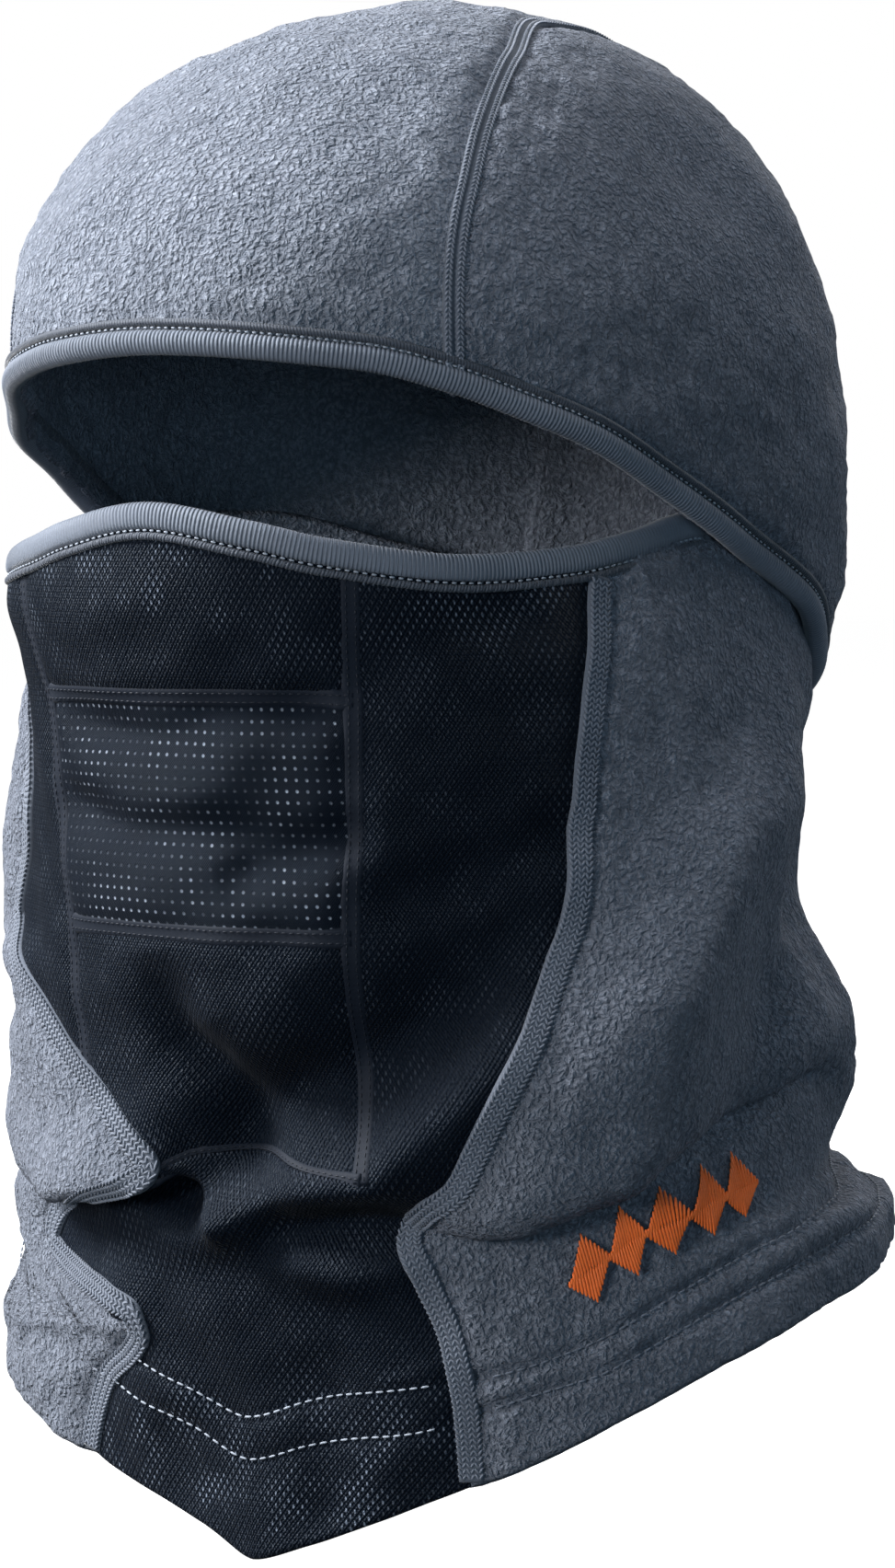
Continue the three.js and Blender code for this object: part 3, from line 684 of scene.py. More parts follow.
def knit_material(name, base, glint, pitch, radius, sheen=0.1, deep=0.0003, rows_apart=None,
                  coarse=0.5, upright=1.0, edges_only=False, stagger=0.5):
    """Knit with rows of small eyelets, laid out on the cloth's own flat measure; the eyelets are lightened
    towards the glint colour as painted glints.
    """
    made, tree, shader = material(name)
    uv = node(tree, "ShaderNodeUVMap", uv_map="cloth").outputs[0]
    parts = node(tree, "ShaderNodeSeparateXYZ", {0: uv})
    rows_apart = rows_apart or pitch
    v = maths(tree, "DIVIDE", parts.outputs[1], rows_apart)
    odd = maths(tree, "MULTIPLY", maths(tree, "MODULO", maths(tree, "FLOOR", v), 2.0), stagger)
    u = maths(tree, "ADD", maths(tree, "DIVIDE", parts.outputs[0], pitch), odd)
    du = maths(tree, "MULTIPLY", maths(tree, "SUBTRACT", maths(tree, "FRACT", u), 0.5), pitch)
    dv = maths(tree, "MULTIPLY", maths(tree, "SUBTRACT", maths(tree, "FRACT", v), 0.5), rows_apart)
    tall = maths(tree, "DIVIDE", dv, upright)
    away = maths(tree, "SQRT", maths(tree, "ADD", maths(tree, "MULTIPLY", du, du), maths(tree, "MULTIPLY",
        tall, tall)))
    hole = ramp(tree, away, radius * 1.25, radius * 0.6)
    at = node(tree, "ShaderNodeTexCoord").outputs["Object"]
    broad = node(tree, "ShaderNodeTexNoise", {"Vector": at, "Scale": 90.0, "Detail": 2.0})
    fine = node(tree, "ShaderNodeTexNoise", {"Vector": at, "Scale": 1400.0, "Detail": 2.0})
    # Painted glints: the eyelets are lightened in some patches and hardly at all in others, standing in for
    # where they catch the light.
    glint_patches = ramp(tree, broad.outputs[0], 0.46, 0.64)
    seen = maths(tree, "MULTIPLY_ADD", glint_patches, 0.85, 0.15)
    if edges_only:
        # The painted glints stay strong only near the top edge and near the hem.
        top_edge = ramp(tree, parts.outputs[1], -146.0, -122.0)
        hem = ramp(tree, parts.outputs[1], -290.0, -312.0)
        seen = maths(tree, "MULTIPLY", seen, maths(tree, "MULTIPLY_ADD", maths(tree, "MAXIMUM", top_edge,
            hem), 0.8, 0.2))
    painted_glint = maths(tree, "MULTIPLY", hole, seen)
    loops_u = maths(tree, "SINE", maths(tree, "MULTIPLY", parts.outputs[0], 2 * math.pi / coarse))
    loops_v = maths(tree, "SINE", maths(tree, "MULTIPLY", parts.outputs[1], 2 * math.pi / (coarse * 1.3)))
    loops = maths(tree, "MULTIPLY", loops_u, loops_v)
    dull = mixed(tree, maths(tree, "MULTIPLY_ADD", loops, 0.3, maths(tree, "MULTIPLY", fine.outputs[0], 0.7),
                             clamp=True), colour(*(0.55 * c for c in base)), colour(*(1.5 * c for c in base)))
    tree.links.new(mixed(tree, painted_glint, dull, colour(*glint)), shader.inputs["Base Color"])
    sunk = 0.6 if edges_only else -1.0
    height = maths(tree, "ADD", maths(tree, "MULTIPLY", hole, sunk), maths(tree, "ADD", maths(tree,
        "MULTIPLY", loops, 0.3), maths(tree, "MULTIPLY", fine.outputs[0], 0.5)))
    relief = node(tree, "ShaderNodeBump", {"Height": height, "Strength": 0.9, "Distance": deep})
    tree.links.new(relief.outputs[0], shader.inputs["Normal"])
    shader.inputs["Roughness"].default_value = 0.5
    shader.inputs["Specular IOR Level"].default_value = 0.09
    shader.inputs["Specular Tint"].default_value = colour(0.7, 0.84, 1.0)
    shader.inputs["Sheen Weight"].default_value = sheen
    shader.inputs["Sheen Roughness"].default_value = 0.4
    return made


def thread_material(name, base, rough=0.55, sheen=0.2, turns=1800.0, spread=0.35):
    """Twisted thread or ribbed tape: fine streaks and a little change of tone."""
    made, tree, shader = material(name)
    at = node(tree, "ShaderNodeTexCoord").outputs["Object"]
    fine = node(tree, "ShaderNodeTexNoise", {"Vector": at, "Scale": turns, "Detail": 2.0})
    broad = node(tree, "ShaderNodeTexNoise", {"Vector": at, "Scale": 60.0, "Detail": 2.0})
    share = maths(tree, "ADD", maths(tree, "MULTIPLY", fine.outputs[0], 0.6),
                  maths(tree, "MULTIPLY", broad.outputs[0], 0.4), clamp=True)
    low = colour(*(c * (1 - spread) for c in base))
    high = colour(*(c * (1 + spread) for c in base))
    tree.links.new(mixed(tree, share, low, high), shader.inputs["Base Color"])
    relief = node(tree, "ShaderNodeBump", {"Height": fine.outputs[0], "Strength": 0.6, "Distance": 0.00012})
    tree.links.new(relief.outputs[0], shader.inputs["Normal"])
    shader.inputs["Roughness"].default_value = rough
    shader.inputs["Specular IOR Level"].default_value = 0.2
    shader.inputs["Sheen Weight"].default_value = sheen
    shader.inputs["Sheen Roughness"].default_value = 0.35
    return made


def ribbed_material(name, base, pitch, slant):
    """Fine-ribbed tape: grooves across it, darkened at their bottoms as painted shade, laid out on the tape's
    own measure.
    """
    made, tree, shader = material(name)
    uv = node(tree, "ShaderNodeUVMap", uv_map="cloth").outputs[0]
    parts = node(tree, "ShaderNodeSeparateXYZ", {0: uv})
    across = maths(tree, "MULTIPLY_ADD", parts.outputs[1], slant, maths(tree, "DIVIDE", parts.outputs[0],
        pitch))
    ridge = maths(tree, "ABSOLUTE", maths(tree, "SINE", maths(tree, "MULTIPLY", across, math.pi)))
    at = node(tree, "ShaderNodeTexCoord").outputs["Object"]
    fine = node(tree, "ShaderNodeTexNoise", {"Vector": at, "Scale": 1500.0, "Detail": 2.0})
    broad = node(tree, "ShaderNodeTexNoise", {"Vector": at, "Scale": 60.0, "Detail": 2.0})
    grain = maths(tree, "ADD", maths(tree, "MULTIPLY", fine.outputs[0], 0.35), maths(tree, "MULTIPLY",
        broad.outputs[0], 0.3))
    # Painted shade: the colour darkens towards the bottom of each groove.
    share = maths(tree, "MULTIPLY_ADD", maths(tree, "POWER", ridge, 0.7), 0.6, grain, clamp=True)
    tree.links.new(mixed(tree, share, colour(*(0.4 * c for c in base)), colour(*(1.25 * c for c in base))),
                   shader.inputs["Base Color"])
    height = maths(tree, "ADD", maths(tree, "POWER", ridge, 0.7), maths(tree, "MULTIPLY", fine.outputs[0],
        0.4))
    relief = node(tree, "ShaderNodeBump", {"Height": height, "Strength": 0.8, "Distance": 0.0002})
    tree.links.new(relief.outputs[0], shader.inputs["Normal"])
    shader.inputs["Roughness"].default_value = 0.65
    shader.inputs["Specular IOR Level"].default_value = 0.2
    shader.inputs["Sheen Weight"].default_value = 0.2
    shader.inputs["Sheen Roughness"].default_value = 0.35
    return made


FLEECE_OUT = fleece_material("fleece_outside", (0.09, 0.103, 0.13), (0.19, 0.211, 0.258), 0.25)
# The crown panel is the same fleece in a lighter copy of its colours: painted light on the top of the hood,
# where the key light falls.
CROWN_FLEECE_PAINTED_LIGHT = fleece_material("crown_fleece_painted_light", (0.117, 0.134, 0.167), (0.247, 0.272, 0.325), 0.3)
# The inside of the fleece gets lighter colours than the outside: painted light where little light reaches into
# the hood.
FLEECE_INSIDE_PAINTED_LIGHT = fleece_material("fleece_inside_painted_light", (0.115, 0.135, 0.17), (0.28, 0.315, 0.38), 0.3)
# The second colour of each knit is its painted glint colour, laid on the eyelets.
MESH_CLOTH = knit_material("mesh_knit", (0.0024, 0.0046, 0.0095), (0.13, 0.155, 0.2), 2.0, 0.27,
                          sheen=0.02, rows_apart=1.3, coarse=0.9, upright=2.0, deep=0.0005, edges_only=True)
EYELET_CLOTH = knit_material("eyelet_knit", (0.003, 0.0054, 0.011), (0.2, 0.23, 0.28), 2.4, 0.38,
                            sheen=0.02, rows_apart=2.4, stagger=0.0)
BINDING_CLOTH = ribbed_material("ribbed_binding", (0.105, 0.121, 0.152), 0.94, 0.05)
ROLL_CLOTH = ribbed_material("ribbed_roll", (0.05, 0.058, 0.075), 0.7, 0.35)
SEAM_BED = thread_material("seam_bed", (0.085, 0.098, 0.124), rough=0.85)
SEAM_THREAD = thread_material("seam_thread", (0.13, 0.147, 0.183), rough=0.7)
DARK_CLOTH = thread_material("dark_tape", (0.004, 0.0072, 0.0145), rough=0.75, sheen=0.02)
DARK_THREAD = thread_material("dark_thread", (0.009, 0.012, 0.019), sheen=0.02)
LIGHT_THREAD = thread_material("light_thread", (0.26, 0.29, 0.34))
ORANGE_THREAD = thread_material("orange_thread", (0.78, 0.145, 0.025), rough=0.4, sheen=0.1, spread=0.25)


def on_hood(obj, slot, *nodes):
    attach(obj, "hood")
    finish_piece(nodes)


def on_neck(obj, slot, *nodes):
    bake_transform(obj)
    finish_piece(nodes)


def finish_piece(nodes):
    if nodes:
        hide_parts(*nodes)


# ---- Hood pieces ----

SEAM_DIP = 1.5
EDGE_SINK = 1.4


def hood_relief(point, edge_gap, seam_gap):
    """How far the pile stands off the form: it sinks towards seams and under the binding."""
    sunk = -SEAM_DIP * np.exp(-(seam_gap / 4.2) ** 2)
    under = -EDGE_SINK * (1 - smooth((edge_gap - 4.5) / 5))
    return sunk + under + 0.16 * ripple(point, 4.5, 21, 14) + 0.22 * ripple(point, 9, 22, 10)


def grid_normals(points):
    return unit(np.cross(np.gradient(points, axis=1), np.gradient(points, axis=0)))


def hood_panel(name, points, normals, edge_gap, seam_gap, outside, *nodes):
    lifted = points + normals * hood_relief(points, edge_gap, seam_gap)[..., None]
    turned = grid_normals(lifted)
    if (turned * normals).sum() < 0:
        turned = -turned
        lifted, turned = lifted[:, ::-1], turned[:, ::-1]
    run_u = np.concatenate([np.zeros((len(lifted), 1)), np.cumsum(np.linalg.norm(np.diff(lifted, axis=1),
        axis=2), 1)], 1)
    run_v = np.concatenate([np.zeros((1, lifted.shape[1])), np.cumsum(np.linalg.norm(np.diff(lifted, axis=0),
        axis=2), 0)], 0)
    obj = cloth(name, lifted, turned, FLEECE, [outside, FLEECE_INSIDE_PAINTED_LIGHT], np.stack([run_u, run_v], -1))
    on_hood(obj, "fleece", *nodes)
    return obj


def crown_lines(columns, rows):
    share = np.linspace(-1, 1, columns)[None]
    start = edge_meridian(lambda m: share * crown_seam_x(m), 60, -30)
    end = edge_meridian(lambda m: share * crown_seam_x(m), 120, 260)
    meridian = start + (end - start) * np.linspace(0, 1, rows)[:, None]
    return share * crown_seam_x(meridian), meridian


def edge_distance(points):
    """Rough distance of hood points from the hood's edge."""
    return np.maximum(points[..., 2] - brow_edge(angle_of(points)), 0)


CROWN_COLUMNS, CROWN_ROWS = 86, 190
x, meridian = crown_lines(CROWN_COLUMNS, CROWN_ROWS)
crown_points, crown_normals = hood_across(x, meridian)
crown_panel = hood_panel("crown_fleece", crown_points, crown_normals, edge_distance(crown_points),
                         crown_seam_x(meridian) - np.abs(x), CROWN_FLEECE_PAINTED_LIGHT, "hood_crown_panel")

SIDE_COLUMNS, SIDE_ROWS = 190, 66
share = np.linspace(0, 1, SIDE_ROWS)[:, None, None]
side_sheets, seam_spans = {}, {}
for word, sign in (("left", 1), ("right", -1)):
    def seam_side(meridian, sign=sign):
        return sign * crown_seam_x(meridian)
    seam_spans[word] = float(edge_meridian(seam_side, 60, -30)), float(edge_meridian(seam_side, 120, 260))
    meridian = np.linspace(*seam_spans[word], SIDE_COLUMNS)
    top, _ = hood_across(seam_side(meridian), meridian)
    ends = [float(angle_of(top[k])) for k in (0, -1)]
    angles = np.linspace(ends[0] + 0.2 * sign, ends[1] - 0.2 * sign, SIDE_COLUMNS)
    edge, _ = hood_at_height(angles, brow_edge(angles))
    lean = CROWN_LEAN * smooth((top[:, 2:] + 80) / 45)
    toward = (top - lean - HOOD_CENTRE)[None] * (1 - share) + (edge - HOOD_CENTRE)[None] * share
    points, normals = hood_at(toward)
    seam_gap = np.linalg.norm(points - points[:1], axis=2)
    side_sheets[word] = hood_panel(f"side_fleece_{word}", points, normals, edge_distance(points), seam_gap,
                                   FLEECE_OUT, f"hood_side_panel_{word}")

SEAM_BAND = loop_profile([(-1.4, -1.7), (-0.3, -2.2), (0.3, -1.9), (0.6, -1.2), (0.45, -0.6), (-0.1, 0),
    (0.45, 0.6), (0.6, 1.2), (0.3, 1.9), (-0.3, 2.2), (-1.4, 1.7)], 22)
for word, sign in (("left", 1), ("right", -1)):
    along = np.linspace(seam_spans[word][0] + 0.5, seam_spans[word][1] - 0.5, 500)
    point, normal = hood_across(sign * crown_seam_x(along), along)
    point = point - normal * 0.7
    frames = line_frames(point, normal, 0.6)
    band = sweep(f"crown_seam_band_{word}", frames, SEAM_BAND, [SEAM_BED], rib=lambda run, side,
        out: 0.07 * np.cos(2 * math.pi * (run / 1.9 + side * 0.25)) * (out > -0.4))
    on_hood(band, "seam_thread", f"hood_crown_seam_{word}")
    rows = [stitch_row(frames, 0.55, offset, 1.15, 1.05, lean)
            for offset, lean in ((-1.75, 0.7), (-0.95, -0.7), (0.95, 0.7), (1.75, -0.7))]
    threads = stitches(f"crown_seam_stitches_{word}", *joined(rows), 0.27, SEAM_THREAD)
    on_hood(threads, "seam_thread")

# The hood's binding: a ribbed band rolled over the edge, a thin ribbed roll beside it, and stitches between
BINDING_STATION = 0.22
edge_angles = np.linspace(-180, 180, 1441)[:-1]
edge_point, edge_normal = hood_at_height(edge_angles, brow_edge(edge_angles))
edge_frames = line_frames(edge_point, edge_normal, BINDING_STATION, closed=True)
into = edge_frames[3]
if into[0, 2] < 0:
    edge_frames = (*edge_frames[:3], -into, edge_frames[4])
HOOD_BAND = loop_profile([(-0.6, 3.7), (0.5, 3.4), (1.15, 2.6), (1.4, 1.5), (1.15, 0.3), (0.4, -0.9), (-0.7,
    -1.5), (-2.0, -1.4), (-3.0, -0.7), (-3.6, 0.4), (-3.8, 1.6), (-3.6, 2.7), (-3.0, 3.4), (-2.0, 3.7)], 28)
ROLL = loop_profile([(-1.0, 4.6), (0.0, 4.45), (0.5, 4.75), (0.7, 5.3), (0.4, 5.85), (-0.3, 6.1), (-1.1, 5.8),
                     (-1.3, 5.2)], 16)


def ribs(height, pitch, slant):
    def at(run, side, out):
        wave = np.abs(np.sin(math.pi * (run / pitch + side * slant)))
        return height * (wave ** 0.6 - 0.6) * smooth((out + 2.6) / 1.5)
    return at


hood_binding = sweep("hood_binding_band", edge_frames, HOOD_BAND, [BINDING_CLOTH], closed=True,
                     rib=ribs(0.3, 0.94, 0.05))
on_hood(hood_binding, "binding", "hood_edge_binding")
piping = sweep("hood_binding_roll", edge_frames, ROLL, [ROLL_CLOTH], closed=True, rib=ribs(0.16, 0.7, 0.25))
on_hood(piping, "binding")
edge_stitches = stitches("hood_binding_stitches", *stitch_row(edge_frames, 0.2, 4.05, 1.7, 0.9), 0.24,
    LIGHT_THREAD)
on_hood(edge_stitches, "light_thread", "hood_binding_stitching")
INNER_LIP = loop_profile([(-3.0, 4.3), (-3.6, 4.0), (-4.3, 4.4), (-4.6, 5.3), (-4.2, 6.2), (-3.3, 6.4),
                          (-2.7, 5.4)], 14)
inner_lip = sweep("hood_binding_inner_lip", edge_frames, INNER_LIP, [ROLL_CLOTH], closed=True,
                  rib=lambda run, side, out: 0.12 * np.sin(2 * math.pi * run / 1.2))
on_hood(inner_lip, "binding")

# ---- Neck and mask pieces ----

def insert_line(side, offset=0.0):
    def at(z):
        x = insert_x(z) + offset
        return side * np.degrees(np.arcsin(np.minimum(1, x / half(z)) ** (roundness(z) / 2)))
    return at


def seam_line(line, side, offset=0.0):
    return lambda z: side * (line(z) + offset / DEGREE)


def between(start, end, top, bottom, columns, rows):
    """Angles and heights over the cloth between two lines down it, from a top edge to a bottom edge."""
    s, t = np.meshgrid(np.linspace(0, 1, columns), np.linspace(0, 1, rows))
    z = np.full(s.shape, -200.0)
    for _ in range(40):
        angle = start(z) * (1 - s) + end(z) * s
        z = 0.5 * z + 0.5 * (top(angle) * (1 - t) + bottom(angle) * t)
    return angle, z, s, t


def level(height):
    return lambda angle: np.full(np.shape(angle), float(height))


def neck_cloth(name, angle, z, thickness, lift, materials, hole=None):
    point, normal = neck_frame(angle, z)
    if np.ndim(lift) or lift:
        point = point + normal * np.asarray(lift)[..., None]
    uv = np.stack([angle * DEGREE, z], -1)
    a = np.cross(point[0, 1] - point[0, 0], point[1, 0] - point[0, 0])
    if a @ normal[0, 0] < 0:
        point, normal, uv, thickness = point[:, ::-1], normal[:, ::-1], uv[:, ::-1], thickness
        if np.ndim(thickness):
            thickness = thickness[:, ::-1]
        if hole is not None:
            hole = hole[:, ::-1]
    return cloth(name, point, normal, thickness, materials, uv, hole)


def seam_sink(gap, wide=3.5, depth=0.8):
    return -depth * np.exp(-(gap / wide) ** 2)


def insert_panel(name, top, bottom, columns, rows, thickness, finish, slot, node_name):
    angle, z, s, t = between(insert_line(-1), insert_line(1), top, bottom, columns, rows)
    point_gap = np.minimum(s, 1 - s) * 78
    end_gap = np.minimum(np.abs(top(angle) - z), np.abs(z - bottom(angle)))
    lift = seam_sink(point_gap) + seam_sink(end_gap)
    obj = neck_cloth(name, angle, z, thickness, lift, [finish])
    on_neck(obj, slot, node_name)
    return obj


nose = insert_panel("nose_mesh", mask_edge, level(NOSE_BOTTOM), 70, 34, MESH, MESH_CLOTH, "mesh",
    "nose_panel")
mouth = insert_panel("mouth_eyelet_mesh", level(NOSE_BOTTOM), level(MOUTH_BOTTOM), 120, 76, MESH,
    EYELET_CLOTH, "perforated_mesh", "mouth_panel")
chin = insert_panel("chin_mesh", level(MOUTH_BOTTOM), level(BIB_TOP), 70, 48, MESH, MESH_CLOTH, "mesh",
    "chin_panel")

# Heights of the two rows of stitches above the hem, by angle: they dip towards the near seam
ROW_AT = [(-180, 11, 18.5), (-60, 14, 21.5), (-32, 21.5, 31), (8, 21.5, 31), (30, 15, 24), (38, 14.5, 21),
          (52, 10.5, 17.5), (180, 11, 18.5)]
row_heights = [curve([(row[0], row[1 + k]) for row in ROW_AT]) for k in (0, 1)]


def hem_row(row, angle):
    return row_heights[row]((np.asarray(angle, float) + 180) % 360 - 180)


# The front mesh is a U: down both sides of the insert and across below it
CHEEK_COLUMNS, INSERT_COLUMNS, CHEEK_ROWS, BIB_ROWS = 28, 56, 94, 66
strips = [(seam_line(far_seam, -1), insert_line(-1), CHEEK_COLUMNS), (insert_line(-1), insert_line(1),
    INSERT_COLUMNS), (insert_line(1), seam_line(near_seam, 1), CHEEK_COLUMNS)]
u_columns = []
for k, (start, end, count) in enumerate(strips):
    upper = between(start, end, mask_edge, level(BIB_TOP), count + 1, CHEEK_ROWS + 1)
    lower = between(start, end, level(BIB_TOP), hem_edge, count + 1, BIB_ROWS + 1)
    keep = slice(0, None) if k == 2 else slice(0, -1)
    u_columns.append([np.vstack([upper[n], lower[n][1:]])[:, keep] for n in (0, 1)])
u_angle, u_z = (np.hstack([c[n] for c in u_columns]) for n in (0, 1))
u_hole = np.zeros((CHEEK_ROWS + BIB_ROWS, 2 * CHEEK_COLUMNS + INSERT_COLUMNS), bool)
u_hole[:CHEEK_ROWS, CHEEK_COLUMNS:CHEEK_COLUMNS + INSERT_COLUMNS] = True
inner_gap = np.where(u_z > BIB_TOP, np.abs(np.abs(u_angle) - insert_line(1)(u_z)) * DEGREE, 99)
outer_gap = np.minimum(np.abs(u_angle - near_seam(u_z)), np.abs(u_angle + far_seam(u_z))) * DEGREE
hem_height = u_z - hem_edge(u_angle)
hem_grooves = sum(-0.5 * np.exp(-((hem_height - hem_row(row, u_angle)) / 1.3) ** 2) for row in (0, 1))
u_lift = seam_sink(inner_gap) + seam_sink(outer_gap, 4.0, 0.9) + hem_grooves + 0.4 * (hem_height < 30)
front_mesh = neck_cloth("front_mesh_u", u_angle, u_z, MESH, u_lift, [MESH_CLOTH], u_hole)
on_neck(front_mesh, "mesh", "front_mesh_panel")

# The fleece goes round the back from one seam to the other
WRAP_COLUMNS, WRAP_ROWS = 290, 170
w_angle, w_z, _, _ = between(seam_line(near_seam, 1), lambda z: 360 - far_seam(z), mask_edge, hem_edge,
                                 WRAP_COLUMNS, WRAP_ROWS)
seam_gap = np.minimum(w_angle - near_seam(w_z), 360 - far_seam(w_z) - w_angle) * DEGREE
w_hem = w_z - hem_edge(w_angle)
plain_points = plain_tube(w_angle, w_z)
puff = 1.5 * (1 - np.exp(-(seam_gap / 6) ** 2)) - 0.9 * np.exp(-(seam_gap / 3.6) ** 2)
sewn_deep = 1.9 - 1.5 * smooth((w_angle - 250) / 40)  # the rows hardly show in the loose far cuff
puff -= sewn_deep * sum(np.exp(-((w_hem - hem_row(row, w_angle)) / 1.5) ** 2) for row in (0, 1))
puff += 0.5 * (1 - smooth((w_hem - 20) / 4))
puff += -1.2 * (1 - smooth((mask_edge(w_angle) - w_z - 4) / 5))
puff += 0.16 * ripple(plain_points, 4.5, 31, 14) + 0.22 * ripple(plain_points, 9, 32, 10)
neck_fleece = neck_cloth("neck_fleece", w_angle, w_z, FLEECE, puff, [FLEECE_OUT, FLEECE_INSIDE_PAINTED_LIGHT])
on_neck(neck_fleece, "fleece", "neck_fleece_wrap")

# Seam bands
FLATLOCK = loop_profile([(-1.4, -2.3), (-0.4, -2.8), (0.2, -2.4), (0.45, -1.6), (0.5, -0.8), (0.5, 0), (0.5,
    0.8), (0.45, 1.6), (0.2, 2.4), (-0.4, 2.8), (-1.4, 2.3)], 22)
for word, line, side in (("left", near_seam, 1), ("right", far_seam, -1)):
    z = np.linspace(-110, -345, 900)
    angle = seam_line(line, side)(z)
    kept = (z < mask_edge(angle) - 6) & (z > hem_edge(angle) + 0.6)
    point, normal = neck_frame(angle[kept], z[kept])
    frames = line_frames(point, normal, 0.6)
    band = sweep(f"flatlock_band_{word}", frames, FLATLOCK, [SEAM_BED])
    on_neck(band, "seam_thread", f"flatlock_seam_{word}")
    rows = [stitch_row(frames, 0.55, offset, 1.3, 1.2, lean) for offset, lean in ((-2.25, 0.9), (-1.35, -0.9),
        (-0.45, 0.9), (0.45, -0.9), (1.35, 0.9), (2.25, -0.9))]
    threads = stitches(f"flatlock_stitches_{word}", *joined(rows), 0.3, SEAM_THREAD)
    on_neck(threads, "seam_thread")

INSERT_BAND = loop_profile([(-1.0, -1.7), (-0.6, -2.3), (-0.1, -1.5), (-0.15, -0.5), (-0.15, 0.5), (-0.1,
    1.5), (-0.6, 2.3), (-1.0, 1.7)], 16)


def dark_seam(name, angle, z, node_name, band_name):
    point, normal = neck_frame(angle, z)
    frames = line_frames(point - normal * 0.35, normal, 0.8)
    band = sweep(band_name, frames, INSERT_BAND, [DARK_CLOTH])
    on_neck(band, "dark_thread", node_name)
    rows = [stitch_row(frames, -0.08, offset, 1.7, 1.0) for offset in (-1.0, 1.0)]
    threads = stitches(name, *joined(rows), 0.17, DARK_THREAD)
    on_neck(threads, "dark_thread")


for word, side in (("left", 1), ("right", -1)):
    z = np.linspace(-112, BIB_TOP, 400)
    angle = insert_line(side)(z)
    kept = z < mask_edge(angle) - 5
    dark_seam(f"insert_stitches_{word}", angle[kept], z[kept], f"insert_seam_{word}", f"insert_band_{word}")
for low, high, height in (("nose", "mouth", NOSE_BOTTOM), ("mouth", "chin", MOUTH_BOTTOM), ("chin", "bib",
        BIB_TOP)):
    edge = float(insert_line(1)(height))
    angle = np.linspace(-edge, edge, 200)
    dark_seam(f"{low}_{high}_stitches", angle, np.full(200, height), f"{low}_{high}_seam",
        f"{low}_{high}_band")

# The mask's binding: a flat ribbed band with a rounded top, a groove of stitches and a ribbed lip
rim_angles = np.linspace(-MASK_BINDING_END, MASK_BINDING_END, 900)
rim_point, rim_normal = neck_frame(rim_angles, mask_edge(rim_angles))
rim_frames = line_frames(rim_point, rim_normal, BINDING_STATION)
if rim_frames[3][0, 2] > 0:
    rim_frames = (*rim_frames[:3], -rim_frames[3], rim_frames[4])
MASK_BAND = loop_profile([(-0.3, 4.1), (0.5, 3.7), (0.9, 2.7), (1.0, 1.5), (0.9, 0.2), (0.35, -1.0), (-0.6,
    -1.6), (-1.8, -1.4), (-2.6, -0.5), (-2.9, 0.8), (-3.0, 2.1), (-2.7, 3.3), (-2.0, 4.1), (-1.2, 4.3)], 28)
LIP = loop_profile([(-0.8, 5.0), (0.0, 4.85), (0.55, 5.15), (0.65, 5.7), (0.4, 6.25), (-0.3, 6.4), (-0.9,
    6.1), (-1.0, 5.5)], 16)
mask_binding = sweep("mask_binding_band", rim_frames, MASK_BAND, [BINDING_CLOTH], rib=ribs(0.22, 0.95, 0.0))
on_neck(mask_binding, "binding", "mask_edge_binding")
mask_lip = sweep("mask_binding_lip", rim_frames, LIP, [ROLL_CLOTH], rib=ribs(0.2, 1.0, 0.1))
on_neck(mask_lip, "binding")
mask_stitches = stitches("mask_binding_stitches", *stitch_row(rim_frames, 0.15, 4.45, 1.9, 1.1), 0.24,
    LIGHT_THREAD)
on_neck(mask_stitches, "light_thread", "mask_binding_stitching")

# Hem stitching
HEM_CLEAR = 3.5
for row_index, word in enumerate(("lower", "upper")):
    for part, low, high, finish, slot, lift in (
            ("front", -float(far_seam(-312)) + HEM_CLEAR, float(near_seam(-312)) - HEM_CLEAR, LIGHT_THREAD,
             "light_thread", 0.15),
            ("back", float(near_seam(-295)) + HEM_CLEAR, 360 - float(far_seam(-295)) - HEM_CLEAR, SEAM_THREAD,
             "seam_thread", 0.9)):
        angle = np.linspace(low, high, 900)
        point, normal = neck_frame(angle, hem_edge(angle) + hem_row(row_index, angle))
        frames = line_frames(point, normal, 0.8)
        row = stitches(f"hem_{part}_row_{word}", *stitch_row(frames, lift, 0, 2.6, 1.8), 0.26, finish)
        on_neck(row, slot, f"hem_{part}_stitching_{word}")

# A chain of embroidered diamonds, point to point, in satin stitch
MOTIF = {"diamonds": 5, "start": 48.5, "end": 82.0, "height": 29.0, "tall": 9.4, "per": 15, "lift": 3.0}
rows = []
for k in range(MOTIF["diamonds"]):
    share = (k + (np.arange(MOTIF["per"]) + 0.5) / MOTIF["per"]) / MOTIF["diamonds"]
    middle = MOTIF["start"] + share * (MOTIF["end"] - MOTIF["start"])
    reach = (1 - np.abs(((share * MOTIF["diamonds"]) % 1) * 2 - 1)) * MOTIF["tall"] / 2 + 0.5
    for up in (1, -1):
        base = hem_edge(middle) + MOTIF["height"]
        low, low_normal = neck_frame(middle, base - 0.35 * up)
        high, high_normal = neck_frame(middle + up * 0.35, base + up * reach)
        rows.append((low + low_normal * MOTIF["lift"], high + high_normal * MOTIF["lift"], low_normal))
motif = stitches("embroidered_diamond_chain", *joined(rows), 0.42, ORANGE_THREAD, flat=0.8)
on_neck(motif, "orange_thread", "embroidered_diamonds")

# ---- Studio ----

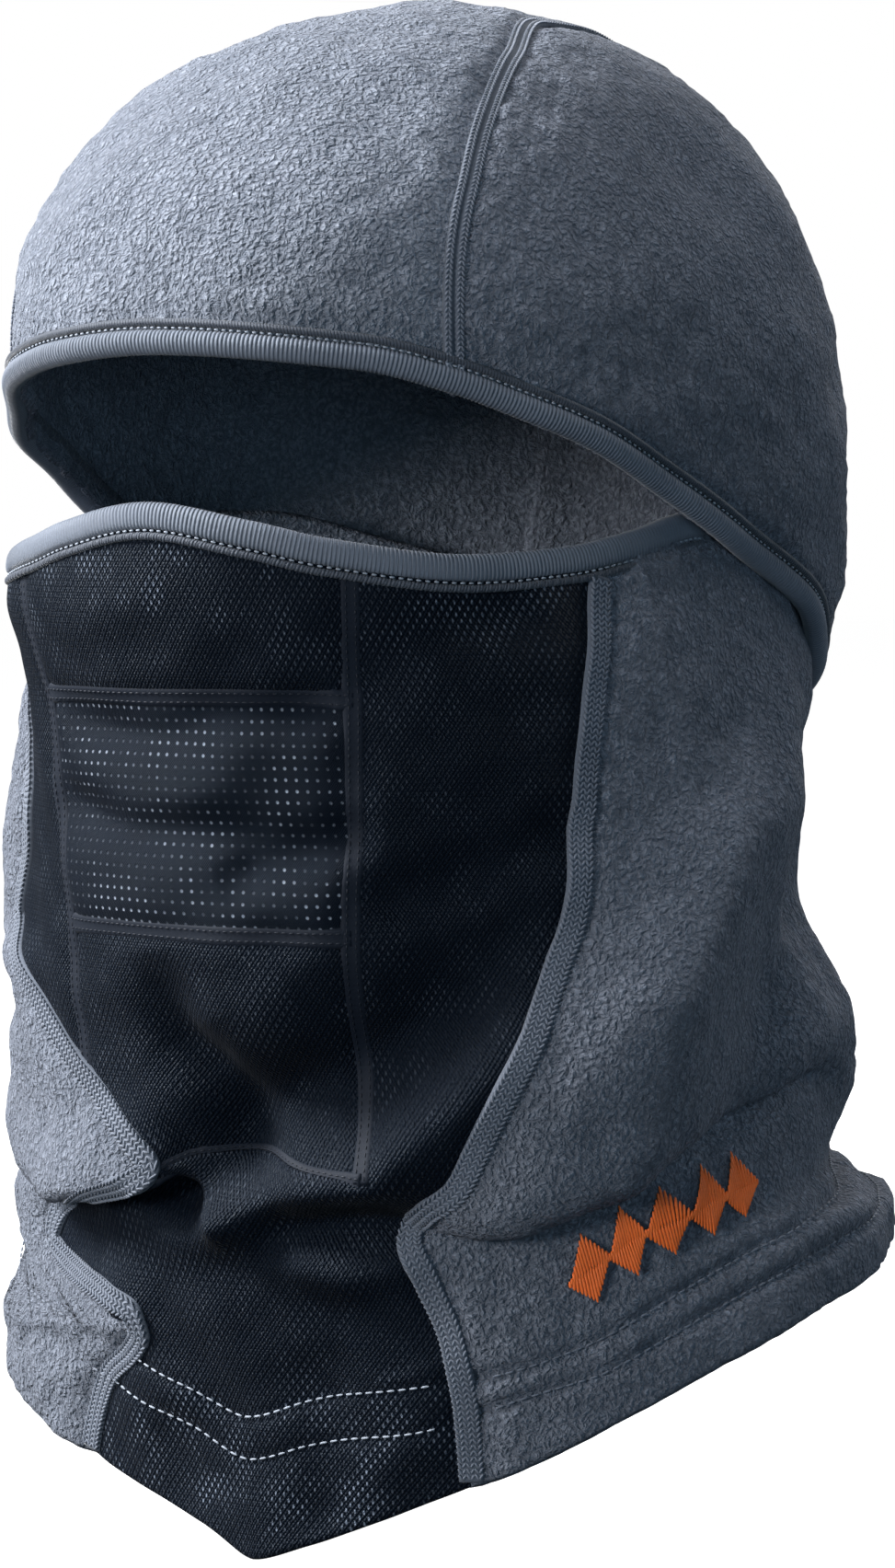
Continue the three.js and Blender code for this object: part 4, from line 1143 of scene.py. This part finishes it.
AZIMUTH, ELEVATION, DISTANCE = math.radians(34), math.radians(3), 1.3
camera_data = bpy.data.cameras.new("camera")
camera_data.lens = 131.8
camera = bpy.data.objects.new("camera", camera_data)
bpy.context.scene.collection.objects.link(camera)
toward = Vector((math.sin(AZIMUTH) * math.cos(ELEVATION), -math.cos(AZIMUTH) * math.cos(ELEVATION),
                 math.sin(ELEVATION)))
to_right = Vector((math.cos(AZIMUTH), math.sin(AZIMUTH), 0))
target = Vector((0, 0, -0.1725)) + to_right * 0.00177
camera.location = target + toward * DISTANCE
camera.rotation_mode = "QUATERNION"
camera.rotation_quaternion = (-toward).to_track_quat("-Z", "Y")
bpy.context.scene.camera = camera


def lamp(name, azimuth, elevation, distance, size, watts, tint=(1, 1, 1)):
    data = bpy.data.lights.new(name, "AREA")
    data.shape = "DISK"
    data.size = size
    data.energy = watts
    data.color = tint
    obj = bpy.data.objects.new(name, data)
    bpy.context.scene.collection.objects.link(obj)
    a, e = math.radians(azimuth), math.radians(elevation)
    way = Vector((math.sin(a) * math.cos(e), -math.cos(a) * math.cos(e), math.sin(e)))
    obj.location = Vector((0, 0, -0.17)) + way * distance
    obj.rotation_mode = "QUATERNION"
    obj.rotation_quaternion = (-way).to_track_quat("-Z", "Y")
    return obj


lamp("key", -58, 38, 1.7, 0.7, 92)
lamp("side_fill", -42, 18, 1.9, 0.8, 16)
lamp("overhead", 0, 85, 1.9, 0.9, 20, tint=(0.97, 0.98, 1.0))
lamp("front_fill", -6, 9, 1.9, 0.5, 21)
lamp("camera_fill", 42, -2, 1.9, 0.9, 8.5, tint=(0.5, 0.78, 1.0))
lamp("right_fill", 100, -10, 1.9, 0.9, 9, tint=(0.6, 0.82, 1.0))
lamp("rim", 150, 25, 1.9, 0.9, 8)
lamp("back_fill", 200, 25, 1.9, 0.9, 22)

FLOOR = -0.346
SIDES = 96


def disc(name, radius, height, finish):
    turn = np.linspace(0, 2 * math.pi, SIDES, endpoint=False)
    points = np.stack([radius * np.cos(turn), radius * np.sin(turn), np.full(SIDES, height)], 1) / MM
    points = np.vstack([[0, 0, height / MM], points])
    faces = [(0, 1 + k, 1 + (k + 1) % SIDES) for k in range(SIDES)]
    return build(name, points, faces, [finish])


floor_finish, tree, shader = material("pale_floor")
grain = node(tree, "ShaderNodeTexNoise", {"Scale": 3.0})
tree.links.new(mixed(tree, grain.outputs[0], colour(0.30, 0.30, 0.31), colour(0.33, 0.33, 0.33)),
               shader.inputs["Base Color"])
shader.inputs["Roughness"].default_value = 0.9
shader.inputs["Emission Color"].default_value = colour(1, 1, 1)
shader.inputs["Emission Strength"].default_value = 0.98
floor = disc("studio_floor", 9.0, FLOOR, floor_finish)

back_finish, tree, shader = material("white_backdrop")
tree.nodes.remove(shader)
glow = node(tree, "ShaderNodeEmission", {"Color": colour(1, 1, 1), "Strength": 1.0})
tree.links.new(glow.outputs[0], next(n for n in tree.nodes if n.type == "OUTPUT_MATERIAL").inputs[0])
bpy.ops.mesh.primitive_uv_sphere_add(radius=9.0, segments=64, ring_count=32)
dome = bpy.context.active_object
dome.name = "studio_backdrop"
dome.data.materials.append(back_finish)
for stage in (floor, dome):
    stage.visible_diffuse = False
    stage.visible_glossy = False
    stage.visible_transmission = False
dome.visible_shadow = False

world = bpy.data.worlds.new("studio")
world.use_nodes = True
background = next(n for n in world.node_tree.nodes if n.type == "BACKGROUND")
background.inputs["Color"].default_value = colour(0.9, 0.95, 1.0)
background.inputs["Strength"].default_value = 0.035
bpy.context.scene.world = world
bpy.context.scene.view_settings.view_transform = "Standard"
